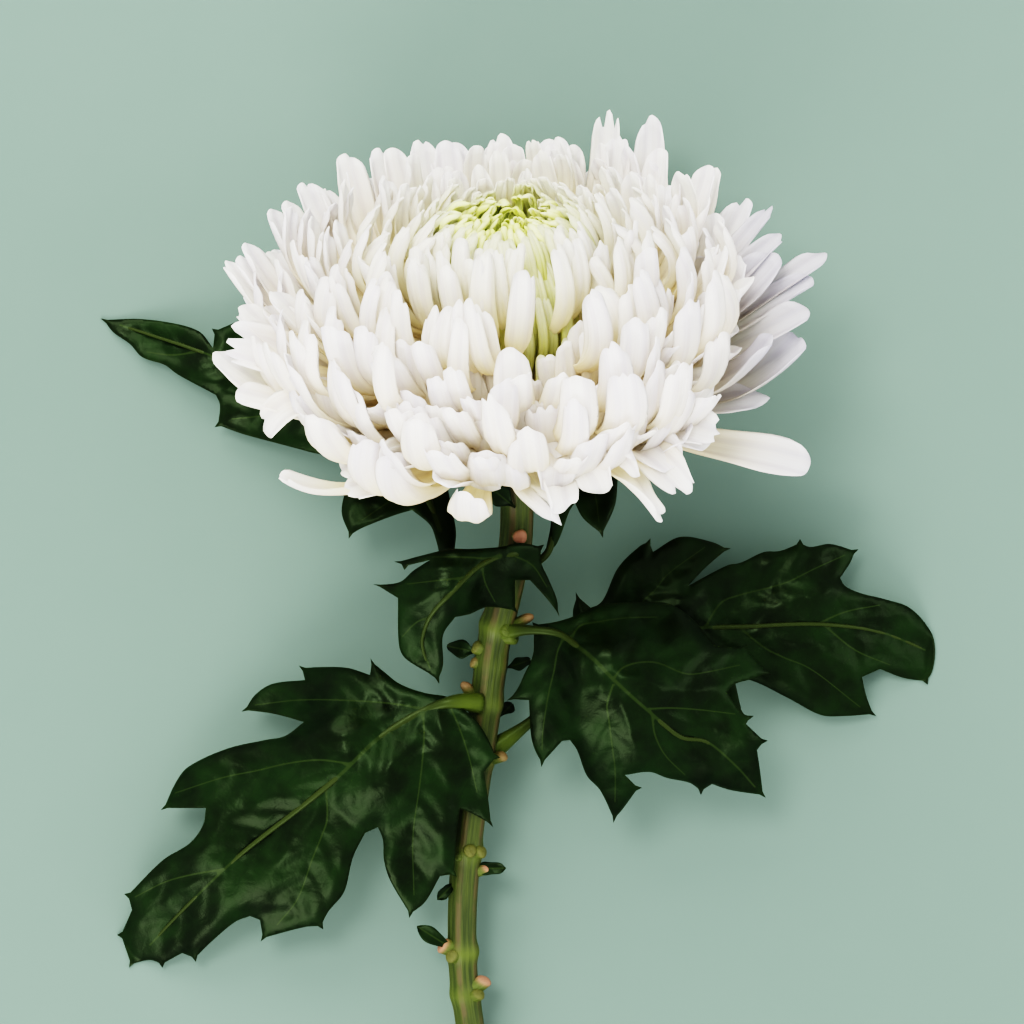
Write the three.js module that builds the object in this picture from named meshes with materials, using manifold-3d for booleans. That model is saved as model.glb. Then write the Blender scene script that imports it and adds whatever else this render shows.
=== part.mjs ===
// A white disbud chrysanthemum, cut with a short stem and laid down on a table.
// Millimetres, +Z up. The table is the plane z = 0, the stem runs along Y and the bloom is at the +Y end.
// The bloom lies on its lower florets with its face tilted up; the cut end of the stem and the leaf tips
// rest on the table too.
import * as THREE from "three";
import { mergeVertices } from "three/addons/utils/BufferGeometryUtils.js";
import Module from "manifold-3d";

const wasm = await Module();
wasm.setup();

// Driving dimensions, in millimetres and degrees
const BLOOM_HEIGHT = 46; // the middle of the bloom above the table
const BLOOM_TILT = 28; // the bloom's axis above the horizontal
const BLOOM_LEAN = 3; // the bloom's axis leans to the left
const RAY_WIDTH = 7.2; // an outer floret at its widest
const RAY_THICKNESS = 1.3; // a floret in its middle; its edges are sharp
const SPIRAL_COUNT = 122; // florets placed by the spiral, beside the outer ones placed one by one
const INNER_COUNT = 17; // florets in the ring that leans over the eye
const EYE_RADIUS = 10.4;
const CALYX_RADIUS = 12.6;
const STEM_RADIUS = 3.4;
const CUT_END_ANGLE = 35; // the slant of the cut
const BLADE_THICKNESS = 0.9;
const BLADE_EDGE = 11; // the longest edge of a blade's triangles
const GAP = 0.3; // between pieces that touch on the real flower
const SMALLEST_DETAIL = 0.05; // edges and steps smaller than this are left out

// The stem, the leaves and the place of the bloom are drawn from above, with X to the right and Y towards the
// bloom, as seen from a point high over the table: what lies lower is drawn a little smaller.
const EYE_POINT = 1045; // height of the point that they are drawn from
const DRAWN_HEIGHT = 45; // height at which they are drawn at their true size
// The foot of that point in the part's frame, whose origin is the middle of the bounding box's base.
const DRAWING_X = -1.6;
const DRAWING_Y = 46.6;

const GOLDEN_ANGLE = 137.50776;
const DEG = Math.PI / 180;

const v3 = (x, y, z) => new THREE.Vector3(x, y, z);
const mix = (a, b, t) => a + (b - a) * t;
const clamp01 = (t) => Math.min(1, Math.max(0, t));
const smooth = (a, b, t) => {
  const s = clamp01((t - a) / (b - a));
  return s * s * (3 - 2 * s);
};

// A repeatable draw between 0 and 1.
function draw(index, channel) {
  const s = Math.sin(index * 127.1 + channel * 311.7) * 43758.5453;
  return s - Math.floor(s);
}
const spread = (index, channel) => 2 * draw(index, channel) - 1;

// A point drawn from above, at its height over the table.
function place(x, y, z) {
  const scale = (EYE_POINT - z) / (EYE_POINT - DRAWN_HEIGHT);
  return v3(x * scale, y * scale, z);
}

// Linear interpolation in a list of [key, value, value, ...] rows.
function lookup(rows, key) {
  let i = 1;
  while (i < rows.length - 1 && rows[i][0] < key) i += 1;
  const [a, b] = [rows[i - 1], rows[i]];
  const t = clamp01((key - a[0]) / (b[0] - a[0]));
  return a.slice(1).map((value, k) => mix(value, b[k + 1], t));
}

// Solids

function toSolid(geometry) {
  const g = geometry.clone();
  g.deleteAttribute("normal");
  g.deleteAttribute("uv");
  const merged = mergeVertices(g, 1e-4);
  const vertProperties = merged.attributes.position.array;
  const triangles = new Uint32Array(merged.index.array);
  const make = (triVerts) => new wasm.Manifold(new wasm.Mesh({ numProp: 3, vertProperties, triVerts }));
  const solid = make(triangles);
  if (solid.volume() > 0) return solid;
  for (let i = 0; i < triangles.length; i += 3) {
    [triangles[i + 1], triangles[i + 2]] = [triangles[i + 2], triangles[i + 1]];
  }
  return make(triangles);
}

function toGeometry(solid) {
  const mesh = solid.simplify(SMALLEST_DETAIL).getMesh();
  return new THREE.BufferGeometry()
    .setAttribute("position", new THREE.BufferAttribute(new Float32Array(mesh.vertProperties), 3))
    .setIndex(new THREE.BufferAttribute(mesh.triVerts, 1));
}

function indexed(points, faces) {
  return new THREE.BufferGeometry()
    .setAttribute("position", new THREE.Float32BufferAttribute(points.flatMap((p) => [p.x, p.y, p.z]), 3))
    .setIndex(faces.flat());
}

// A closed skin over rings of points, each ring of the same count, with flat ends or an end drawn to a tip.
function loft(rings, tip) {
  const n = rings[0].length;
  const points = rings.flat();
  const faces = [];
  for (let k = 0; k + 1 < rings.length; k += 1) {
    for (let j = 0; j < n; j += 1) {
      const [a, b] = [k * n + j, k * n + ((j + 1) % n)];
      faces.push([a, b, b + n], [a, b + n, a + n]);
    }
  }
  for (let j = 1; j + 1 < n; j += 1) faces.push([0, j + 1, j]);
  const last = (rings.length - 1) * n;
  if (tip) {
    points.push(tip);
    for (let j = 0; j < n; j += 1) faces.push([last + j, last + ((j + 1) % n), points.length - 1]);
  } else {
    for (let j = 1; j + 1 < n; j += 1) faces.push([last, last + j, last + j + 1]);
  }
  return toSolid(indexed(points, faces));
}

// A round rod along a curve, with a radius for each place along it.
function rod(curve, radiusAt, stations, sides) {
  const rings = [];
  const up = v3(0, 0, 1);
  for (const t of stations) {
    const along = curve.getTangentAt(t);
    const across = v3().crossVectors(along, up).normalize();
    const rise = v3().crossVectors(across, along);
    const ring = Array.from({ length: sides }, (_, j) => {
      const angle = (2 * Math.PI * (j + 0.5)) / sides;
      const r = radiusAt(t, angle);
      const point = curve.getPointAt(t).addScaledVector(across, r * Math.cos(angle));
      return point.addScaledVector(rise, r * Math.sin(angle));
    });
    rings.push(ring);
  }
  return loft(rings);
}

function union(solids) {
  return solids.reduce((whole, solid) => whole.add(solid));
}

const biggest = (solid) => solid.decompose().sort((a, b) => b.volume() - a.volume())[0];

const TABLE = toSolid(new THREE.BoxGeometry(600, 600, 40).translate(0, 0, -20));

// The bloom's own frame: AXIS from the calyx to the eye, FRONT towards the viewer, RIGHT across

const AXIS = v3(
  -Math.sin(BLOOM_LEAN * DEG),
  Math.cos(BLOOM_TILT * DEG) * Math.cos(BLOOM_LEAN * DEG),
  Math.sin(BLOOM_TILT * DEG) * Math.cos(BLOOM_LEAN * DEG),
);
const RIGHT = v3(1, 0, 0).addScaledVector(AXIS, -AXIS.x).normalize();
const FRONT = v3().crossVectors(RIGHT, AXIS);
const HEART = place(0.4, 30, BLOOM_HEIGHT);
const BLOOM_FRAME = new THREE.Matrix4().makeBasis(RIGHT, AXIS, FRONT).setPosition(HEART);

const radial = (azimuth) =>
  RIGHT.clone().multiplyScalar(Math.cos(azimuth * DEG)).addScaledVector(FRONT, Math.sin(azimuth * DEG));
const tangential = (azimuth) => radial(azimuth + 90);

// A solid turned about the bloom's axis, from a profile of [radius, height] rows.
function turned(profile, segments) {
  const points = profile.map(([r, h]) => new THREE.Vector2(r, h));
  return toSolid(new THREE.LatheGeometry(points, segments).applyMatrix4(BLOOM_FRAME));
}

// Florets. One is a strap with a crescent section, hollow side towards the eye, along a curve in the plane
// through the bloom's axis at its azimuth.

const BENT_FROM = 5; // a floret that would pass below this height is bent along the table
const BENT_TO = 0.3;
function pressed(point) {
  const reach = BENT_FROM - BENT_TO;
  if (point.z < BENT_FROM) point.z = BENT_TO + reach * Math.exp((point.z - BENT_FROM) / reach);
  return point;
}

function floretWidth(t) {
  const opening = 0.32 + 0.68 * smooth(0.15, 0.72, t);
  const closing = t < 0.78 ? 1 : Math.sqrt(Math.max(0, 1 - ((t - 0.78) / 0.24) ** 2));
  return opening * closing;
}

function floret({ azimuth, base, tip, rise, end, width, thickness, cup, roll, bend, stations }) {
  const foot = new THREE.Vector2(...base);
  const top = new THREE.Vector2(...tip);
  const handle = 0.4 * foot.distanceTo(top);
  const curve = new THREE.CubicBezierCurve(
    foot,
    new THREE.Vector2(Math.cos(rise * DEG), Math.sin(rise * DEG)).multiplyScalar(handle).add(foot),
    new THREE.Vector2(Math.cos(end * DEG), Math.sin(end * DEG)).multiplyScalar(-handle).add(top),
    top,
  );
  const out = radial(azimuth);
  const side = tangential(azimuth);
  const spine = (t) => {
    const p = curve.getPoint(t);
    const point = HEART.clone().addScaledVector(out, p.x).addScaledVector(AXIS, p.y);
    return pressed(point.addScaledVector(side, bend * t * t));
  };
  const section = (t) => {
    const centre = spine(t);
    const along = spine(Math.min(1, t + 0.02)).sub(spine(t - 0.02)).normalize();
    const turn = roll * DEG * t;
    const outward = v3().crossVectors(along, side).normalize();
    if (outward.dot(out.clone().addScaledVector(AXIS, -1)) < 0) outward.negate();
    const across = v3().crossVectors(outward, along).normalize();
    const a = across.clone().multiplyScalar(Math.cos(turn)).addScaledVector(outward, Math.sin(turn));
    const n = outward.clone().multiplyScalar(Math.cos(turn)).addScaledVector(across, -Math.sin(turn));
    const w = width * floretWidth(t);
    const depth = cup * w;
    const half = (thickness / 2) * (0.6 + 0.4 * floretWidth(t));
    return [
      centre.clone().addScaledVector(a, -w / 2),
      centre.clone().addScaledVector(n, depth + half),
      centre.clone().addScaledVector(a, w / 2),
      centre.clone().addScaledVector(n, depth - half),
    ];
  };
  return loft(stations.map(section), spine(1));
}

// The outer florets, which spread, droop or curl each in its own way:
// azimuth, reach from the axis, height, elevation of the tip, width, roll.
const OUTER_FLORETS = [
  [172, 59, 5, 20, 9, 12], [179, 57, 8, 30, 8, -10], [163, 52, -3, -35, 8, 0],
  [152, 51, -11, -10, 6, 25], [135, 42, -11, -5, 8, 0], [188, 57, 20, 45, 6, -20],
  [196, 53, 23, 75, 6.5, 0], [204, 51, 26, 80, 7.5, 10], [215, 47, 30, 78, 7.5, 0],
  [224, 46, 32, 82, 7, -10], [236, 45, 31, 85, 7.5, 0], [247, 46, 30, 85, 7, 8],
  [260, 46, 28, 84, 7, 0], [270, 46, 29, 86, 7, -8], [281, 45, 28, 84, 7.5, 0],
  [292, 55, 31, 86, 7, 0], [305, 51, 33, 96, 7, 15], [318, 53, 25, 80, 8, 0], [327, 54, 21, 75, 8, 0],
  [338, 58, 18, 32, 7.5, 10], [345, 56, 14, 35, 7.5, 0], [349, 64, 11, 35, 8, 0],
  [354, 58, 8, 40, 8, -12], [3, 55, 4, 50, 9, 0], [14, 50, -7, 5, 9, 10], [20, 60, -13, -12, 9, -12],
  [35, 44, -5, 0, 8, 0], [48, 46, -14, -65, 8, 0], [58, 48, -16, -70, 8.5, 0], [66, 46, -4, -15, 8, 0],
  [76, 47, -9, -30, 8, 0], [84, 42, -16, -75, 7, 20], [93, 42, -15, -80, 7, -20],
  [102, 39, -7, -95, 9, 0], [141, 35, -3, 80, 8, 0], [150, 43, -4, 10, 8, 0], [115, 42, -2, 10, 8, 0],
  [126, 46, -5, 0, 8, 0], [210, 49, 27, 80, 7, 0], [219, 50, 26, 80, 7, 0], [230, 47, 30, 84, 7, 5],
  [242, 43, 31, 88, 7, 0], [254, 43, 30, 88, 7, 0], [287, 44, 29, 85, 7, 0], [299, 46, 30, 86, 7, 0],
  [312, 48, 28, 84, 7, 0], [321, 50, 27, 80, 7, 0],
];
// The florets under the bloom, which it rests on.
const LOWER_FLORETS = [
  [246, 61, -1, 5, 8, 0], [259, 61, -4, 0, 8, 0], [271, 59, -2, 5, 8, 0], [284, 61, -4, 0, 8, 0],
  [297, 61, 0, 5, 8, 0],
];

// Where the spiral's florets end, from the outermost to the eye: layer, reach, height, elevation of the tip.
const LAYERS = [
  [0.0, 56, 0, 20], [0.1, 57, 6, 45], [0.22, 56, 13, 62], [0.36, 53, 19, 74], [0.5, 47, 25, 86],
  [0.64, 39, 29, 94], [0.8, 29, 31.5, 100], [1.0, 18, 31, 106],
];
const FLAT_SIDE = { azimuth: 15, share: 0.15 }; // the bloom is less spread towards this side
// Florets stand apart in a throat in front of the eye: which way it faces and half its angle, its first and
// last layer, and its middle and half sizes along the radius, the axis and across.
const THROAT = { azimuth: 74, half: 10, from: 0.6, to: 0.95, middle: [22, 16, 0], size: [9, 12, 4.5] };

function spiralFlorets() {
  const florets = [];
  for (let i = 0; i < SPIRAL_COUNT; i += 1) {
    const layer = (i + 0.5) / SPIRAL_COUNT;
    const azimuth = (i * GOLDEN_ANGLE * 2 + 4 * spread(i, 1)) % 360;
    const apart = Math.abs(((azimuth - THROAT.azimuth + 540) % 360) - 180);
    if (apart < THROAT.half && layer > THROAT.from && layer < THROAT.to) continue;
    const [reach, height, end] = lookup(LAYERS, layer);
    const facing = Math.max(0, Math.cos((azimuth - FLAT_SIDE.azimuth) * DEG));
    const inset = 1 - FLAT_SIDE.share * facing * (1 - 0.6 * layer);
    florets.push({
      azimuth,
      base: [mix(9, 5, layer), mix(-8, 2, layer)],
      tip: [reach * inset * (1 + 0.05 * spread(i, 2)), height + 2 * spread(i, 3)],
      rise: mix(-6, 74, layer ** 0.8),
      end: end + 12 * spread(i, 4),
      width: RAY_WIDTH * mix(1.15, 0.62, layer ** 1.6) * (1 + 0.12 * spread(i, 5)),
      thickness: mix(RAY_THICKNESS, 1, layer),
      cup: 0.2,
      roll: 22 * spread(i, 6),
      bend: 3 * spread(i, 7),
      stations: [mix(0.25, 0.45, layer), 0.68, 0.93],
    });
  }
  return florets;
}

// Long young florets that show in the throat, below the eye.
const THROAT_FLORETS = [
  [62, 18, 24.5], [69, 17, 25], [76, 19, 22], [83, 17, 25], [89, 19, 22.5],
];

function throatFlorets() {
  return THROAT_FLORETS.map(([azimuth, reach, height]) => ({
    azimuth,
    base: [9, -1],
    tip: [reach, height],
    rise: 48,
    end: 100,
    width: 4,
    thickness: 1,
    cup: 0.2,
    roll: 0,
    bend: 0,
    stations: [0.3, 0.65, 0.92],
  }));
}

function innerFlorets() {
  return Array.from({ length: INNER_COUNT }, (_, i) => ({
    azimuth: (360 * i) / INNER_COUNT + 5 * spread(i, 11),
    base: [9, 4],
    tip: [13.6 + 0.8 * spread(i, 12), 28.5 + 1.5 * spread(i, 13)],
    rise: 62,
    end: 112,
    width: 4.4,
    thickness: 1,
    cup: 0.2,
    roll: 10 * spread(i, 14),
    bend: 0,
    stations: [0.45, 0.7, 0.92],
  }));
}

function outerFlorets() {
  return [...OUTER_FLORETS, ...LOWER_FLORETS].map(([azimuth, reach, height, end, width, roll], i) => ({
    azimuth,
    base: [9, -9.5],
    tip: [reach, height],
    rise: clamp01((height + 12) / 45) * 40 - 8,
    end,
    width,
    thickness: RAY_THICKNESS,
    cup: 0.18,
    roll,
    bend: 3 * spread(i, 8),
    stations: [0.05, 0.35, 0.7, 0.93],
  }));
}

// The florets' crowded lower ends, which the outer parts stand out of.
const CORE_PROFILE = [
  [0, -11.5], [12.6, -11.5], [15, -8.5], [22, -4], [29, 0], [32, 6], [30, 12], [25, 15], [12, 17],
  [0, 17],
];
const EYE_SEAT = 11; // height of the eye's foot
const EYE_SOCKET = [
  [0, EYE_SEAT], [8.2, EYE_SEAT], [EYE_RADIUS + 0.4, 17], [EYE_RADIUS + 0.9, 27], [EYE_RADIUS - 1, 31],
  [0, 33],
];

function rayFlorets() {
  const core = turned(CORE_PROFILE, 20);
  const throat = new THREE.SphereGeometry(1, 8, 6)
    .scale(...THROAT.size)
    .translate(...THROAT.middle)
    .rotateY(-THROAT.azimuth * DEG)
    .applyMatrix4(BLOOM_FRAME);
  const body = core.subtract(toSolid(throat));
  const florets = [outerFlorets(), spiralFlorets(), innerFlorets(), throatFlorets()].flat().map(floret);
  const whole = union([body, ...florets]);
  return biggest(whole.subtract(turned(EYE_SOCKET, 20)).subtract(TABLE));
}

// The eye: young green florets in rings, each curled in over the next. A ring has a count, the radius of its
// feet, and the radius and height of its tips.
const EYE_RINGS = [
  [18, 9, 7.1, 28.4], [12, 6.7, 4.3, 29], [6, 3.9, 1.5, 28.2],
];
const EYE_CORE = [
  [0, EYE_SEAT + GAP], [7.8, EYE_SEAT + GAP], [9.1, 17], [8.6, 23.2], [6, 25.5], [0, 26],
];

function centreFlorets() {
  const florets = EYE_RINGS.flatMap(([count, foot, reach, height], ring) =>
    Array.from({ length: count }, (_, j) => {
      const index = 100 * ring + j;
      return floret({
        azimuth: (360 * (j + 0.5 * (ring % 2))) / count + 4 * spread(index, 19),
        base: [foot, 18],
        tip: [reach, height + 0.5 * spread(index, 10)],
        rise: 78,
        end: 155,
        width: 3.6 - 0.2 * ring,
        thickness: 1.2,
        cup: 0.2,
        roll: 0,
        bend: 0,
        stations: [0.1, 0.6, 0.88],
      });
    }),
  );
  return biggest(union([turned(EYE_CORE, 16), ...florets]));
}

// The calyx: a green cup under the florets, with a row of narrow bracts

const BRACT_COUNT = 16;
const CALYX_FOOT = -22.5; // height along the bloom's axis
const CALYX_PROFILE = [
  [0, CALYX_FOOT], [3.4, CALYX_FOOT], [4.6, -19.5], [8, -16.4], [11.4, -14.2], [CALYX_RADIUS, -11.8],
  [0, -11.8],
];

function calyx() {
  const bracts = Array.from({ length: BRACT_COUNT }, (_, j) =>
    floret({
      azimuth: (360 * j) / BRACT_COUNT,
      base: [5, -18.5],
      tip: [13.2, -12.3],
      rise: 32,
      end: 50,
      width: 4.2,
      thickness: 1,
      cup: 0.1,
      roll: 0,
      bend: 0,
      stations: [0.15, 0.75],
    }),
  );
  return union([turned(CALYX_PROFILE, 20), ...bracts]);
}

// Stem, from under the calyx to the cut end: x, y and height

const STEM_TOP = HEART.clone().addScaledVector(AXIS, CALYX_FOOT + 2);
const STEM_ROUTE = [
  [1.2, 2.4, 31.5], [0.8, -6.6, 28], [-1, -15.6, 25], [-3.4, -25.6, 22], [-5, -37.6, 19],
  [-6.4, -47.6, 16.5], [-8.6, -64, 13.4], [-9.8, -79, 10.8], [-9.6, -92.6, 8.8], [-8.2, -103.6, 7.3],
  [-6.8, -119.6, 5.6], [-6.4, -143.6, 3.8], [-7.2, -168.8, 3.1],
];
const STEM_CURVE = new THREE.CatmullRomCurve3([
  STEM_TOP,
  ...STEM_ROUTE.map((point) => place(...point)),
]);
// Nodes of the stem, where leaves and side shoots grow: place along the stem, swelling.
const STEM_NODES = [
  [0.16, 0.35], [0.27, 0.6], [0.345, 0.5], [0.42, 0.4], [0.565, 0.6], [0.67, 0.5], [0.735, 0.5],
  [0.86, 0.5],
];

const NODE_REACH = 0.012; // half the length of a swelling
const RIDGES = 5;
const RIDGE_SHARE = 0.04;
const STEM_STATIONS = [
  ...Array.from({ length: 19 }, (_, k) => k / 18),
  ...STEM_NODES.flatMap(([at]) => [at - 1.5 * NODE_REACH, at, at + 1.5 * NODE_REACH]),
].sort((a, b) => a - b);

function stemRadius(t, angle) {
  const taper = mix(0.98, 0.86, smooth(0.2, 0.62, t)) + 0.18 * smooth(0.7, 1, t);
  const swellings = STEM_NODES.map(([at, size]) => size * Math.exp(-(((t - at) / NODE_REACH) ** 2)));
  const swelling = swellings.reduce((sum, value) => sum + value);
  return STEM_RADIUS * taper * (1 + RIDGE_SHARE * Math.cos(RIDGES * angle)) + swelling;
}

// Stubs of the side shoots that were taken off: place along the stem, turn about it, length, radius.
// The turn is 0 to the right, 90 up and 180 to the left.
const STUBS = [
  [0.115, 100, 1.6, 1.4], [0.18, 150, 7, 1.1], [0.27, 35, 6, 1.2], [0.345, 150, 6.5, 1.3],
  [0.565, 25, 2.6, 1.7], [0.67, 165, 3, 2], [0.735, 20, 3, 2.1], [0.86, 200, 2, 1.6],
  [0.86, -10, 2, 1.5],
];

function stemFrame(t) {
  const along = STEM_CURVE.getTangentAt(t);
  const across = v3().crossVectors(along, v3(0, 0, 1)).normalize().negate();
  const rise = v3().crossVectors(along, across);
  if (rise.z < 0) rise.negate();
  return { centre: STEM_CURVE.getPointAt(t), along, across, rise };
}

function stub([t, turn, length, radius], extra = 0) {
  const { centre, along, across, rise } = stemFrame(t);
  const out = across.multiplyScalar(Math.cos(turn * DEG)).addScaledVector(rise, Math.sin(turn * DEG));
  const lean = out.clone().addScaledVector(along, -0.8).normalize();
  const start = centre.clone().addScaledVector(out, 1);
  const end = centre.clone().addScaledVector(out, STEM_RADIUS).addScaledVector(lean, length + extra);
  const line = new THREE.LineCurve3(start, end);
  return rod(line, (s) => radius * mix(1.25, 0.9, s) + extra, [0, 1], 6);
}

function stemSolid(extra = 0) {
  return rod(STEM_CURVE, (t, angle) => stemRadius(t, angle) + extra, STEM_STATIONS, 2 * RIDGES);
}

const STEM_CLEARANCE = union([stemSolid(GAP), ...STUBS.map((shape) => stub(shape, GAP))]);

function stem() {
  const end = STEM_CURVE.getPointAt(1);
  const reach = 10 * STEM_RADIUS;
  const cutter = new THREE.BoxGeometry(reach, reach, reach)
    .translate(0, -reach / 2, 0)
    .rotateX(-CUT_END_ANGLE * DEG)
    .translate(end.x, end.y + STEM_RADIUS, end.z);
  const seatRadius = 2.5 * STEM_RADIUS;
  const seat = turned([[0, CALYX_FOOT - GAP], [seatRadius, CALYX_FOOT - GAP], [seatRadius, 0], [0, 0]], 12);
  const whole = union([stemSolid(), ...STUBS.map((shape) => stub(shape))]);
  return biggest(whole.subtract(seat).subtract(toSolid(cutter)).subtract(TABLE));
}

// Leaves. A blade's outline and midrib are drawn from above, and its height is a smooth surface through
// a few points of x, y and height. Its stalk runs from inside the stem to the blade.

const SURFACE_SCALE = 20;

// A thin-plate surface: its weights come from one linear system, solved by elimination.
function surfaceThrough(points) {
  const n = points.length;
  const kernel = (dx, dy) => {
    const r2 = (dx * dx + dy * dy) / SURFACE_SCALE ** 2;
    return r2 > 0 ? r2 * Math.log(r2) : 0;
  };
  const rows = Array.from({ length: n + 3 }, () => new Array(n + 4).fill(0));
  points.forEach(([x, y, z], i) => {
    points.forEach(([px, py], j) => (rows[i][j] = kernel(x - px, y - py)));
    [1, x / SURFACE_SCALE, y / SURFACE_SCALE].forEach((value, k) => {
      rows[i][n + k] = value;
      rows[n + k][i] = value;
    });
    rows[i][n + 3] = z;
  });
  for (let i = 0; i < n + 3; i += 1) {
    let best = i;
    for (let k = i + 1; k < n + 3; k += 1) {
      if (Math.abs(rows[k][i]) > Math.abs(rows[best][i])) best = k;
    }
    [rows[i], rows[best]] = [rows[best], rows[i]];
    for (let k = 0; k < n + 3; k += 1) {
      if (k === i) continue;
      const share = rows[k][i] / rows[i][i];
      for (let j = i; j < n + 4; j += 1) rows[k][j] -= share * rows[i][j];
    }
  }
  const weights = rows.map((row, i) => row[n + 3] / row[i]);
  return (x, y) =>
    points.reduce((sum, [px, py], i) => sum + weights[i] * kernel(x - px, y - py), 0) +
    weights[n] + (weights[n + 1] * x + weights[n + 2] * y) / SURFACE_SCALE;
}

// Triangles over a flat outline, with no edge longer than a limit

const signedArea = (a, b, c) => (b.x - a.x) * (c.y - a.y) - (b.y - a.y) * (c.x - a.x);
const edgeName = (a, b) => (a < b ? `${a},${b}` : `${b},${a}`);
const edgesOf = ([a, b, c]) => [[a, b], [b, c], [c, a]];

function narrowestAngle(points, face) {
  const angles = face.map((corner, k) => {
    const [p, q, r] = [corner, face[(k + 1) % 3], face[(k + 2) % 3]].map((i) => points[i]);
    return q.clone().sub(p).angleTo(r.clone().sub(p));
  });
  return Math.min(...angles);
}

function facesByEdge(faces) {
  const owners = new Map();
  faces.forEach((face, i) => {
    for (const [a, b] of edgesOf(face)) {
      const name = edgeName(a, b);
      owners.set(name, [...(owners.get(name) ?? []), i]);
    }
  });
  return owners;
}

// The face with its corners in anticlockwise order.
function direct(points, face) {
  const [a, b, c] = face;
  return signedArea(points[a], points[b], points[c]) > 0 ? face : [a, c, b];
}

// Turns the edge between two triangles wherever that makes them less thin, and tells whether any was turned.
function turnEdgesOnce(points, faces) {
  const changed = new Set();
  for (const [name, pair] of facesByEdge(faces)) {
    if (pair.length < 2 || pair.some((i) => changed.has(i))) continue;
    const [a, b] = name.split(",").map(Number);
    const [c, d] = pair.map((i) => faces[i].find((p) => p !== a && p !== b));
    const [sideA, sideB] = [a, b].map((p) => signedArea(points[c], points[d], points[p]));
    const now = Math.min(narrowestAngle(points, [a, b, c]), narrowestAngle(points, [a, b, d]));
    const turned = Math.min(narrowestAngle(points, [c, d, a]), narrowestAngle(points, [c, d, b]));
    if (sideA * sideB >= 0 || turned <= now + 1e-6) continue;
    faces[pair[0]] = direct(points, [c, d, a]);
    faces[pair[1]] = direct(points, [c, d, b]);
    pair.forEach((i) => changed.add(i));
  }
  return changed.size > 0;
}

function turnEdges(points, faces) {
  let more = true;
  while (more) more = turnEdgesOnce(points, faces);
}

// Halves each edge over the limit, adding its middle to the points, and returns the new faces.
function halveEdges(points, faces, longest) {
  const middles = new Map();
  const middle = ([a, b]) => {
    if (points[a].distanceTo(points[b]) <= longest) return null;
    const name = edgeName(a, b);
    if (!middles.has(name)) {
      middles.set(name, points.length);
      points.push(points[a].clone().lerp(points[b], 0.5));
    }
    return middles.get(name);
  };
  return faces.flatMap((face) => {
    const found = edgesOf(face).map(middle);
    const count = found.filter((m) => m !== null).length;
    if (count === 0) return [face];
    if (count === 3) return [...[0, 1, 2].map((k) => [face[k], found[k], found[(k + 2) % 3]]), found];
    const first = count === 1 ? found.findIndex((m) => m !== null) : (found.indexOf(null) + 1) % 3;
    const [a, b, c] = [0, 1, 2].map((k) => face[(first + k) % 3]);
    const [p, q] = [found[first], found[(first + 1) % 3]];
    return count === 1 ? [[a, p, c], [p, b, c]] : [[p, b, q], [a, p, q], [a, q, c]];
  });
}

function triangulate(outline, longest) {
  const points = outline.map(([x, y]) => new THREE.Vector2(x, y));
  let faces = THREE.ShapeUtils.triangulateShape(points, []).map((face) => direct(points, face));
  turnEdges(points, faces);
  let before = 0;
  while (points.length > before) {
    before = points.length;
    faces = halveEdges(points, faces, longest);
    turnEdges(points, faces);
  }
  return { points, faces };
}

// A blade has the same triangles on both faces, and walls between them round its rim.
function blade(outline, heightAt) {
  const { points, faces } = triangulate(outline, BLADE_EDGE);
  const half = BLADE_THICKNESS / 2;
  const skin = (shift) => points.map(({ x, y }) => place(x, y, heightAt(x, y)).add(v3(0, 0, shift)));
  const owners = facesByEdge(faces);
  const rim = faces.flatMap(edgesOf).filter(([a, b]) => owners.get(edgeName(a, b)).length === 1);
  const n = points.length;
  const under = faces.map(([a, b, c]) => [a + n, c + n, b + n]);
  const walls = rim.flatMap(([a, b]) => [[b, a, a + n], [b, a + n, b + n]]);
  return toSolid(indexed([...skin(half), ...skin(-half)], [...faces, ...under, ...walls]));
}

const RIB_STATIONS = [0, 0.05, 0.12, 0.22, 0.35, 0.5, 0.66, 0.82, 1];

function leaf({ outline, heights, rib, stalk }) {
  const heightAt = surfaceThrough(heights);
  const ribCurve = new THREE.CatmullRomCurve3([
    ...stalk.map((point) => place(...point)),
    ...rib.map(([x, y]) => place(x, y, heightAt(x, y) - BLADE_THICKNESS)),
  ]);
  const ribRod = rod(ribCurve, (t) => mix(1.5, 0.5, t ** 0.7), RIB_STATIONS, 5);
  return biggest(union([blade(outline, heightAt), ribRod]).subtract(STEM_CLEARANCE).subtract(TABLE));
}

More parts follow.
